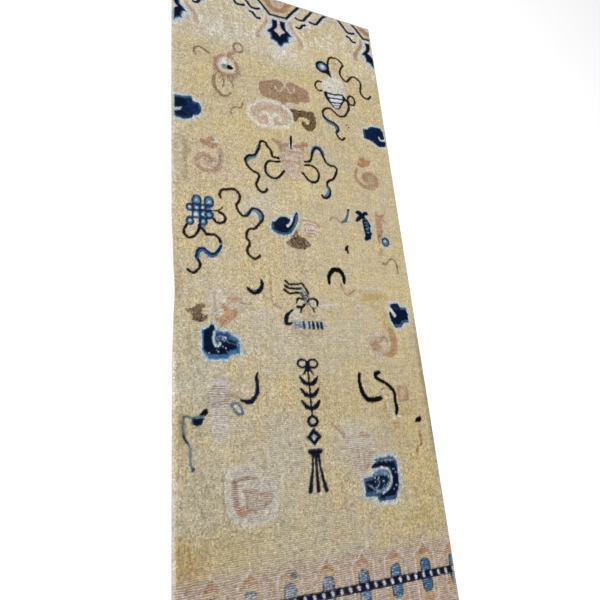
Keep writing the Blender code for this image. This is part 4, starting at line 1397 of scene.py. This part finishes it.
def lowerClouds():
    # worn rose, the last navy cloud, and a square scroll worn to its wefts
    patch(((9.6, -60), (14, -62), (20, -65), (20.6, -71), (17.6, -77.6), (13, -77), (11, -70), (8, -65)),
        "bone", 0.5, soft=2)
    thin(((9, -62), (20, -64), (20, -78), (9, -78)), 1)
    patch(((6.4, -62.4), (9.4, -63), (11, -66), (13.6, -67), (13, -68), (10.4, -67.6), (8.6, -64.8)),
        "umberRose", 0.5, soft=0.6)
    patch(((10.6, -65.6), (18.8, -64.8), (20.4, -68), (19.4, -74), (17, -77.4), (12.4, -76.4),
        (11.2, -70)), "dustyPink", 0.6, soft=1.2)
    patch(((12.6, -66.6), (20.2, -66.8), (20.4, -69.2), (12.4, -69.4)), "bone", 0.6, soft=0.8)
    line(((16.6, -65), (18.8, -66.2)), 1.5, "rustRose", 0.8, soft=0.5)
    line(((18.4, -72.2), (20.6, -71.5)), 1.1, "rustRose", 0.55, soft=0.6)
    for x in (12.8, 14.8, 16.9):
        line(((x - 0.6, -70), (x, -73), (x + 0.2, -76.6)), 0.9, "umberRose", 0.45, soft=0.4)
    line(((18.8, -71.6), (18.2, -74.8), (16.4, -76.8)), 1.2, "rustRose", 0.65, soft=0.4)
    rows, top, step, narrowing = 16, -64.4, 0.8, 0.1
    for number in range(rows):
        y = top - step * number
        bar(((11.4, y), (19.4 - narrowing * number, y)), 0.3, "bone", 0.55)
    silhouette = ((20.8, -73.5), (28, -73.1), (29.4, -75), (29.3, -79), (29.2, -82.6), (28.1, -84.9),
        (27.1, -86.9), (20.6, -87), (19.9, -85.3), (15.8, -85.1), (15.6, -79.4), (19, -79.1),
        (19.7, -77.3), (20.2, -76.6))
    slab(silhouette, "rimTeal", 0.97, halo=2.3, haloWool="rimBlue")
    line(((21, -74), (27.8, -73.8)), 1, "midBlue", 0.9)
    line(((24.6, -74.4), (28, -74.2)), 0.5, "lightBlue", 0.55)
    line(((19.5, -76.2), (21.2, -75.6), (26.2, -75.5), (27.6, -76.6), (27.9, -79), (27.7, -82),
        (26.6, -84.2), (24.4, -84.8), (22, -84.9)), (0.9, 1.8, 2.2, 2.6, 2.6, 2.2, 1.4), "navyDark", 0.97)
    patch(((19.4, -78.2), (21.4, -77.5), (24.4, -77.5), (25.6, -79.4), (25.2, -81.6), (23.2, -83.4),
        (20.6, -83.8), (19.2, -81)), "steelBlue", 0.97)
    patch(((19.4, -79.4), (22.4, -79), (24.9, -79.6), (24.6, -81.7), (22.8, -83.1), (20.2, -83),
        (19.2, -81)), "navyDark", 0.9)
    speckle(((19.6, -78.4), (25.2, -78.4), (25, -82.6), (20, -83.2)), "beadBlue", 0.14, 0.7)
    line(((19.4, -77.7), (21.4, -76.9), (24, -76.7), (25.8, -77.6), (26.4, -79.6), (25.9, -81.6),
        (24.4, -83.4), (22.4, -84.4)), (1, 0.9, 0.9, 0.8, 0.8, 0.9, 0.9, 0.7), "barWhite", 0.85)
    slab(((16.3, -80.4), (19.4, -80.1), (20, -83.4), (16.4, -83.7)), "navyDark", 0.85)
    line(((17, -81.4), (18.2, -82.2), (19.6, -83.2), (21.6, -84.2)), 0.45, "silver", 0.7)
    line(((18.4, -84.4), (21, -84)), 0.5, "silver", 0.7)
    speckle(((27, -77), (29, -77), (29, -84), (26, -84)), "beadBlue", 0.12, 0.6)
    speckle(((21, -73.6), (28.4, -73.4), (28.6, -74.8), (21, -74.8)), "lightBlue", 0.18, 0.7)
    line(((16, -84.4), (19.6, -84.5)), 1, "midBlue", 0.9)
    line(((15.9, -80), (19, -79.7)), 0.8, "midBlue", 0.7)
    line(((20.8, -86.3), (27, -86.2)), 1.1, "midBlue", 0.85)
    line(((21.4, -85.9), (22.6, -86)), 1, "navyDark", 0.8)
    square = ((-30.8, -74.6), (-28.6, -72.4), (-22, -72.2), (-21.4, -76), (-16.4, -76.8), (-15.2, -82),
        (-17, -87.6), (-24, -89), (-29, -87.8), (-31, -83))
    patch(square, "paleLilac", 0.85, soft=1.4)
    line([*square, square[0]], 1.3, "bone", 0.6, soft=0.8)
    line(((-31.6, -75), (-31.7, -83), (-29.6, -87.6), (-27, -89)), 0.5, "olive", 0.45)
    thin(square, 0.9)
    line(((-26.4, -77.2), (-26.3, -83)), 1.6, "bone", 0.75, soft=0.5)
    patch(((-25.4, -79.2), (-22.4, -79.6), (-16.8, -80.6), (-17, -83.4), (-20, -85.2), (-24.4, -86)),
        "dustyPink", 0.6, soft=0.7)
    line(((-28.8, -76.8), (-26.4, -76.1), (-24, -75.9), (-21.8, -76.2)), 1.15, "umberRose", 0.78)
    line(((-28.4, -77), (-28.2, -80), (-28.2, -83)), (1.4, 1.5, 1.9), "umberRose", 0.78, soft=0.4)
    patch(((-29, -82.8), (-27.4, -83.4), (-24.7, -83.8), (-24.6, -85.6), (-26.2, -86.6), (-27.8, -85.8)),
        "rustRose", 0.8, soft=0.5)
    line(((-25.6, -79.4), (-23.8, -79.7), (-22, -80)), 1.4, "umberRose", 0.78)
    line(((-24.8, -80), (-24.9, -83), (-24.4, -85.4)), 0.9, "umberRose", 0.65)
    line(((-23.6, -84.8), (-20.4, -84.4), (-17.4, -82.8)), 1, "umberRose", 0.65)
    line(((-22, -80.6), (-16.8, -80.4)), 0.55, "umberRose", 0.45)
    line(((-27.6, -77.8), (-22.6, -77.6)), 0.5, "umberRose", 0.3)


for motif in (flamingPearl, conch, middleClouds, sideClouds, vase, paleScrolls, endlessKnot,
              middleFruit, fishAndBlades, leafAndScroll, pouch, rightClouds, lowerEmblems,
              tasselCord, lowerClouds):
    motif()
print("field dyed")


# the overcast edges and the ends
edgeLook = {
    "left": "edgePale",
    "right": "edgeDun",
    "foot": "cotton",
    "gone": 0.5,          # how far in the pile has gone, in centimetres
    "wander": 0.45,
    "moreLeft": 0.25,
    "moreLow": 0.4,
    "low": (-60, 20),
    "fade": 0.5,
    "cover": 0.85,
    "endGone": 0.9,
    "endCover": 0.9,
    "bare": 0.5,
}
strayLook = {
    "seed": 77,
    "colour": 0.064,      # from knot to knot, as a share of its brightness
    "hue": 0.004,
    "hueWay": (0.6, 0.2, -1.0),
    "most": 2.5,
    "rougher": 0.20,      # towards the lower left
    "rougherFrom": (40, 120),
    "calmer": 0.3,        # in the middle and the right
    "calmerX": (-5, 25),
    "calmerY": (-10, 60),  # its middle, and how far it reaches
    "streak": 0.030,      # slow streaks along and across
    "mottle": 0.020,      # patches a few knots wide
    "rowShow": 0.030,     # how far the rows show in the worn half
    "rows": (20, 60),
}
dustAndEdgeLightLook = {
    "clean": 1.012,
    "dust": 0.062,        # the lower end is the dustier one
    "low": (10, 110),
    "edgeLightAndShade": 0.10,        # but a painted highlight along its left edge, and a painted shade along its right
    "stripWide": 2.2,
    "stripFade": 1.2,
    "stripLow": (-20, 20),
    "rightStrip": 1.6,
    "rightHigh": (-78, 12),
}


def wearEdges():
    # the pile has gone from the outermost knots here and there
    look = edgeLook
    inwards = halfWide - np.abs(trueX)
    reach = look["gone"] + look["wander"] * here("edge") + look["moreLeft"] * (trueX < 0)
    reach = reach + look["moreLow"] * below(*look["low"])
    bare = smoothStep((reach - inwards) / look["fade"] + 0.5) * look["cover"]
    endwards = look["endGone"] - halfLong + np.abs(trueY)
    ends = smoothStep(endwards / look["fade"] + 0.5) * look["endCover"]
    wash(look["left"], bare * (trueX < 0))
    wash(look["right"], bare * (trueX > 0))
    wash(look["foot"], ends)
    np.maximum(bareness, look["bare"] * np.maximum(bare, ends), out=bareness)


def dustAndEdgeLight():
    # how bright the dust leaves each knot, with painted light along the left edge and painted shade along
    # the right
    look = dustAndEdgeLightLook
    inwards = halfWide - np.abs(trueX)
    edgeLightAndShade = smoothStep((look["stripWide"] - inwards) / look["stripFade"]) * below(*look["stripLow"])
    edgeLightAndShade = edgeLightAndShade * np.where(trueX < 0, 1.0, look["rightStrip"] * above(*look["rightHigh"]))
    dusty = look["clean"] - look["dust"] * below(*look["low"])
    return dusty, 1.0 + np.where(trueX < 0, look["edgeLightAndShade"], -look["edgeLightAndShade"]) * edgeLightAndShade


def strayKnots():
    # no two knots took the dye alike
    look = strayLook
    rng = np.random.default_rng(look["seed"])
    start, over = look["rougherFrom"]
    rougher = smoothStep((start - trueX - trueY) / over)
    start, over = look["calmerX"]
    middle, reach = look["calmerY"]
    calmer = smoothStep((trueX - start) / over) * (np.abs(trueY - middle) < reach)
    rough = look["colour"] * (1.0 + look["rougher"] * rougher) * (1.0 - look["calmer"] * calmer)
    stray = rough * rng.normal(0, 1, faceCount).clip(-look["most"], look["most"])[faceOf]
    hue = look["hue"] * rng.normal(0, 1, faceCount).clip(-look["most"], look["most"])[faceOf]
    bright = 1.0 + look["streak"] * here("streaks") + look["mottle"] * here("mottles")
    bright = bright + look["rowShow"] * below(*look["rows"]) * here("rows")
    # dust towards the lower end, painted light along the left edge and painted shade along the right
    dusty, edgeLightAndShade = dustAndEdgeLight()
    bright = bright * dusty * edgeLightAndShade
    grey = stray * (woolOf @ brightness)
    woolOf[:] = woolOf * bright[:, None] + grey[:, None] + hue[:, None] * np.array(look["hueWay"])
    np.clip(woolOf, 0.01, 1.0, out=woolOf)


def toLinear(screen):
    return np.where(screen <= 0.04045, screen / 12.92, ((screen + 0.055) / 1.055) ** 2.4)


def storeKnots():
    # the corners that meet mingle, as tufts lean over each other
    colour = toLinear(woolOf)
    meeting = np.bincount(vertOf, minlength=vertCount).clip(1)
    store = np.ones((len(spots), 4))
    for channel in range(3):
        own = colour[:, channel]
        mingled = (np.bincount(vertOf, own, vertCount) / meeting)[vertOf]
        store[:, channel] = own + (mingled - own) * knotLook["mingle"]
    layer = rugMesh.color_attributes.new("knotColour", "FLOAT_COLOR", "CORNER")
    layer.data.foreach_set("color", store.ravel())
    pale = smoothStep((woolOf @ brightness - knotLook["bareFrom"]) / knotLook["bareOver"])
    layer = rugMesh.attributes.new("bareness", "FLOAT", "POINT")
    layer.data.foreach_set("value", np.bincount(vertOf, bareness * pale, vertCount) / meeting)


wearEdges()
strayKnots()
storeKnots()
print("knots stored")


pileLook = {
    "fibreScale": 850.0,     # noise cells to the metre
    "fibreContrast": 0.22,
    "fibreRelief": 0.5,
    "tuftStray": 0.75,       # how far tufts lean out of their places
    "gap": (0.28, 0.72),
    "gapDarkness": 0.30,     # painted shade between two tufts of long pile
    "rowWander": 1.6,
    "wanderScale": 38.0,
    "thread": (0.30, 0.12),  # a weft's edge and middle, as shares of a row
    "weftStretch": (0.22, 0.9, 1.0),
    "weft": (0.38, 0.62),
    "weftPale": (0.63, 0.575, 0.52, 1.0),
    "weftShow": 0.62,
    "weftRelief": 0.45,
    "groove": 0.30,          # painted shade in the groove under a worn row
    "height": 0.0011,        # of a tuft
    "relief": 0.8,
    "roughness": 0.92,
    "smoother": 0.08,
    "rougher": 0.06,
    "sheen": 0.004,
    "shade": 0.94,           # every wool darkened alike by this share, to suit the lamps
}
selvedgeFinish = {
    "wrapsPerMetre": 210.0,
    "slant": 160.0,
    "wanderScale": 60.0,
    "grooveShade": 0.62,
    "grooveWide": 0.6,
    "fibreScale": 1100.0,
    "fibreRelief": 0.35,
    "height": 0.0006,
    "relief": 0.8,
    "roughness": 0.88,
    "sheen": 0.01,
}
backFinish = {
    "base": (0.50, 0.43, 0.28, 1.0),
    "node": (0.60, 0.54, 0.41, 1.0),
    "tuftStray": 0.25,
    "patchScale": 6.0,
    "patches": (0.35, 0.65),
    "beads": (0.2, 0.7),
    "gapShade": 0.6,
    "fibreScale": 900.0,
    "height": 0.0004,
    "relief": 0.7,
    "roughness": 0.9,
}
fibreSpan = (0.3, 0.7)        # most of the fibre noise lies between these
fibreShades = (0.85, 1.1)     # on the edges and the underside
specular = 0.02
sheenRoughness = 0.5


class Nodes:
    # a short way to add and join the nodes of one finish
    def __init__(self, name):
        self.material = bpy.data.materials.new(name)
        self.material.use_nodes = True
        self.tree = self.material.node_tree
        self.shader = self.tree.nodes["Principled BSDF"]

    def add(self, kind, inputs=None, **settings):
        node = self.tree.nodes.new("ShaderNode" + kind)
        for key, value in settings.items():
            setattr(node, key, value)
        for key, value in (inputs or {}).items():
            self.put(value, node.inputs[key])
        return node

    def put(self, value, socket):
        if isinstance(value, bpy.types.NodeSocket):
            self.tree.links.new(value, socket)
        else:
            socket.default_value = value

    def math(self, operation, first, second=0.0, clamp=False):
        node = self.add("Math", {0: first, 1: second}, operation=operation, use_clamp=clamp)
        return node.outputs[0]

    def spread(self, value, low, high, toLow=0.0, toHigh=1.0):
        inputs = {"Value": value, "From Min": low, "From Max": high, "To Min": toLow, "To Max": toHigh}
        node = self.add("MapRange", inputs, interpolation_type="SMOOTHSTEP")
        return node.outputs["Result"]

    def mix(self, share, first, second, blend="MIX"):
        node = self.add("Mix", data_type="RGBA", blend_type=blend)
        self.put(share, node.inputs["Factor"])
        self.put(first, node.inputs["A"])
        self.put(second, node.inputs["B"])
        return node.outputs["Result"]

    def noise(self, vector, scale, detail=2.0, roughness=0.5, **settings):
        inputs = {"Vector": vector, "Scale": scale, "Detail": detail, "Roughness": roughness}
        return self.add("TexNoise", inputs, **settings).outputs["Fac"]

    def tint(self, colour, shade):
        tinted = self.add("VectorMath", {0: colour, "Scale": shade}, operation="SCALE").outputs[0]
        self.put(tinted, self.shader.inputs["Base Color"])

    def relief(self, height, look):
        bump = self.add("Bump", {"Height": height, "Distance": look["height"], "Strength": look["relief"]})
        self.put(bump.outputs["Normal"], self.shader.inputs["Normal"])

    def surface(self, **values):
        for key, value in values.items():
            self.put(value, self.shader.inputs[key.replace("_", " ")])


def pileMaterial():
    look = pileLook
    nodes = Nodes("woolPile")
    colour = nodes.add("Attribute", attribute_name="knotColour").outputs["Color"]
    bare = nodes.add("Attribute", attribute_name="bareness").outputs["Fac"]
    place = nodes.add("TexCoord").outputs["Object"]
    uv = nodes.add("UVMap", uv_map="knots").outputs["UV"]
    knots = nodes.add("Mapping", {"Vector": uv, "Scale": (knotColumns, knotRows, 1.0)}).outputs[0]
    # tufts: rounded cells, one a knot, that lean every way
    cells = {"Vector": knots, "Scale": 1.0, "Randomness": look["tuftStray"]}
    dome = nodes.add("TexVoronoi", cells, voronoi_dimensions="2D").outputs["Distance"]
    whole = nodes.math("SUBTRACT", 1.0, bare)
    # painted shade in the gaps between tufts
    gap = nodes.spread(dome, *look["gap"])
    gapShade = nodes.math("MULTIPLY", gap, nodes.math("MULTIPLY", whole, look["gapDarkness"]))
    # fibres
    fibre = nodes.noise(place, look["fibreScale"], 3.0, 0.65)
    contrast = look["fibreContrast"]
    fibreShade = nodes.spread(fibre, *fibreSpan, 1.0 - contrast, 1.0 + contrast)
    # wefts: a pale thread and a groove of painted shade in every row, broken where some pile stands
    wander = nodes.noise(place, look["wanderScale"])
    row = nodes.add("SeparateXYZ", {"Vector": knots}).outputs["Y"]
    row = nodes.math("ADD", row, nodes.math("MULTIPLY", wander, look["rowWander"]))
    phase = nodes.math("FRACT", row)
    thread = nodes.math("ABSOLUTE", nodes.math("SUBTRACT", phase, 0.5))
    thread = nodes.spread(thread, *look["thread"])
    stretched = nodes.add("Mapping", {"Vector": knots, "Scale": look["weftStretch"]}).outputs[0]
    broken = nodes.spread(nodes.noise(stretched, 1.0, 2.0, 0.6), *look["weft"])
    showing = nodes.math("MULTIPLY", bare, nodes.math("MULTIPLY", thread, broken))
    weftShare = nodes.math("MULTIPLY", showing, look["weftShow"], clamp=True)
    groove = nodes.math("MULTIPLY", nodes.math("SUBTRACT", 1.0, thread), bare)
    grooveShade = nodes.math("MULTIPLY", groove, look["groove"])
    shade = nodes.math("SUBTRACT", 1.0, nodes.math("ADD", gapShade, grooveShade))
    shade = nodes.math("MULTIPLY", shade, nodes.math("MULTIPLY", fibreShade, look["shade"]))
    nodes.tint(nodes.mix(weftShare, colour, look["weftPale"]), shade)
    tuft = nodes.math("MULTIPLY", nodes.math("SUBTRACT", 1.0, dome), whole)
    ridge = nodes.math("MULTIPLY", thread, nodes.math("MULTIPLY", bare, look["weftRelief"]))
    height = nodes.math("ADD", tuft, ridge)
    fuzz = nodes.math("MULTIPLY", fibre, look["fibreRelief"])
    nodes.relief(nodes.math("ADD", height, fuzz), look)
    smoothest, roughest = look["roughness"] - look["smoother"], look["roughness"] + look["rougher"]
    rough = nodes.spread(fibre, *fibreSpan, smoothest, roughest)
    nodes.surface(Roughness=rough, Specular_IOR_Level=specular, Sheen_Weight=look["sheen"],
                  Sheen_Roughness=sheenRoughness)
    return nodes.material


def selvedgeMaterial():
    look = selvedgeFinish
    nodes = Nodes("overcastEdge")
    colour = nodes.add("Attribute", attribute_name="knotColour").outputs["Color"]
    place = nodes.add("TexCoord").outputs["Object"]
    parts = nodes.add("SeparateXYZ", {"Vector": place})
    along = nodes.math("MULTIPLY", parts.outputs["Y"], look["wrapsPerMetre"])
    down = nodes.math("MULTIPLY", parts.outputs["Z"], look["slant"])
    wander = nodes.noise(place, look["wanderScale"], 1.0)
    phase = nodes.math("FRACT", nodes.math("ADD", nodes.math("ADD", along, down), wander))
    fromMiddle = nodes.math("ABSOLUTE", nodes.math("SUBTRACT", phase, 0.5))
    wrap = nodes.math("SUBTRACT", 1.0, nodes.math("MULTIPLY", fromMiddle, 2.0))
    fibre = nodes.noise(place, look["fibreScale"], 3.0, 0.6)
    wrapShade = nodes.spread(wrap, 0.0, look["grooveWide"], look["grooveShade"], 1.0)
    fibreShade = nodes.spread(fibre, *fibreSpan, *fibreShades)
    nodes.tint(colour, nodes.math("MULTIPLY", wrapShade, fibreShade))
    fuzz = nodes.math("MULTIPLY", fibre, look["fibreRelief"])
    nodes.relief(nodes.math("ADD", wrap, fuzz), look)
    nodes.surface(Roughness=look["roughness"], Specular_IOR_Level=specular, Sheen_Weight=look["sheen"])
    return nodes.material


def backMaterial():
    # the underside shows the backs of the knots, row by row
    look = backFinish
    nodes = Nodes("knottedBack")
    place = nodes.add("TexCoord").outputs["Object"]
    scale = (1.0 / clothLook["knotWidth"], 1.0 / clothLook["rowHeight"], 1.0)
    knots = nodes.add("Mapping", {"Vector": place, "Scale": scale}).outputs[0]
    flat = nodes.add("VectorMath", {0: knots, 1: (1.0, 1.0, 0.0)}, operation="MULTIPLY").outputs[0]
    cells = {"Vector": flat, "Scale": 1.0, "Randomness": look["tuftStray"]}
    bead = nodes.add("TexVoronoi", cells, voronoi_dimensions="2D").outputs["Distance"]
    patchy = nodes.noise(place, look["patchScale"], 4.0, 0.6)
    colour = nodes.mix(nodes.spread(patchy, *look["patches"]), look["base"], look["node"])
    fibre = nodes.noise(place, look["fibreScale"])
    beadShade = nodes.spread(bead, *look["beads"], 1.0, look["gapShade"])
    fibreShade = nodes.spread(fibre, *fibreSpan, *fibreShades)
    nodes.tint(colour, nodes.math("MULTIPLY", beadShade, fibreShade))
    nodes.relief(nodes.math("SUBTRACT", 1.0, bead), look)
    nodes.surface(Roughness=look["roughness"], Specular_IOR_Level=specular)
    return nodes.material


def makeRug():
    # the pile, the overcast edges all round, and the underside
    for material in (pileMaterial(), selvedgeMaterial(), backMaterial()):
        rugMesh.materials.append(material)
    pile, edge, back = 0, 1, 2
    slots = np.full(faceCount, edge)
    slots[:knotColumns * knotRows] = pile
    slots[-1] = back
    rugMesh.polygons.foreach_set("material_index", slots)
    smooth = np.ones(faceCount, bool)
    smooth[-1] = False
    rugMesh.polygons.foreach_set("use_smooth", smooth)
    rug = bpy.data.objects.new("rugPile", rugMesh)
    bpy.context.scene.collection.objects.link(rug)
    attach(rug, "root")
    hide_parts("rug")
    return rug


rug = makeRug()
print("rug finished")


studio = {
    "floorSize": 30.0,
    "floorColour": (0.95, 0.95, 0.95, 1.0),
    "floorRoughness": 0.9,
    "floorSpecular": 0.1,
    "floorDrop": 0.0004,        # keeps it clear of the underside
    "skyColour": (1.0, 1.0, 1.0, 1.0),
    "skyStrength": 0.58,
    "panelHeight": 3.2,
    "panelSize": 3.0,
    "panelPower": 56.0,
    "sunTurn": (38, -22, 0),    # degrees
    "sunPower": 1.07,
    "sunSoftness": 14,
}
cameraLook = {
    "place": (-0.7335, -0.7284, 1.5079),
    "turn": (20.2927, -23.7908, -5.0785),    # degrees
    "lens": 29.67,
    "sensor": 36.0,
}


def makeFloor():
    bm = bmesh.new()
    bmesh.ops.create_grid(bm, x_segments=1, y_segments=1, size=studio["floorSize"] / 2)
    mesh = bpy.data.meshes.new("floor")
    bm.to_mesh(mesh)
    bm.free()
    nodes = Nodes("paleFloor")
    nodes.surface(Base_Color=studio["floorColour"], Roughness=studio["floorRoughness"],
                  Specular_IOR_Level=studio["floorSpecular"])
    mesh.materials.append(nodes.material)
    floor = bpy.data.objects.new("floor", mesh)
    floor.location.z = -studio["floorDrop"]
    bpy.context.scene.collection.objects.link(floor)


def makeLight():
    world = bpy.data.worlds.new("paleSky")
    world.use_nodes = True
    sky = world.node_tree.nodes["Background"].inputs
    sky["Color"].default_value = studio["skyColour"]
    sky["Strength"].default_value = studio["skyStrength"]
    bpy.context.scene.world = world
    panel = bpy.data.lights.new("panel", "AREA")
    panel.energy = studio["panelPower"]
    panel.size = studio["panelSize"]
    lamp = bpy.data.objects.new("panel", panel)
    lamp.location = (0.0, 0.0, studio["panelHeight"])
    bpy.context.scene.collection.objects.link(lamp)
    sun = bpy.data.lights.new("sun", "SUN")
    sun.energy = studio["sunPower"]
    sun.angle = math.radians(studio["sunSoftness"])
    lamp = bpy.data.objects.new("sun", sun)
    lamp.rotation_euler = Euler([math.radians(angle) for angle in studio["sunTurn"]])
    bpy.context.scene.collection.objects.link(lamp)


def makeCamera():
    data = bpy.data.cameras.new("camera")
    data.lens = cameraLook["lens"]
    data.sensor_width = cameraLook["sensor"]
    camera = bpy.data.objects.new("camera", data)
    camera.location = cameraLook["place"]
    camera.rotation_euler = Euler([math.radians(angle) for angle in cameraLook["turn"]])
    bpy.context.scene.collection.objects.link(camera)
    bpy.context.scene.camera = camera


makeFloor()
makeLight()
makeCamera()
bpy.context.scene.view_settings.view_transform = "Standard"

bpy.context.view_layer.update()
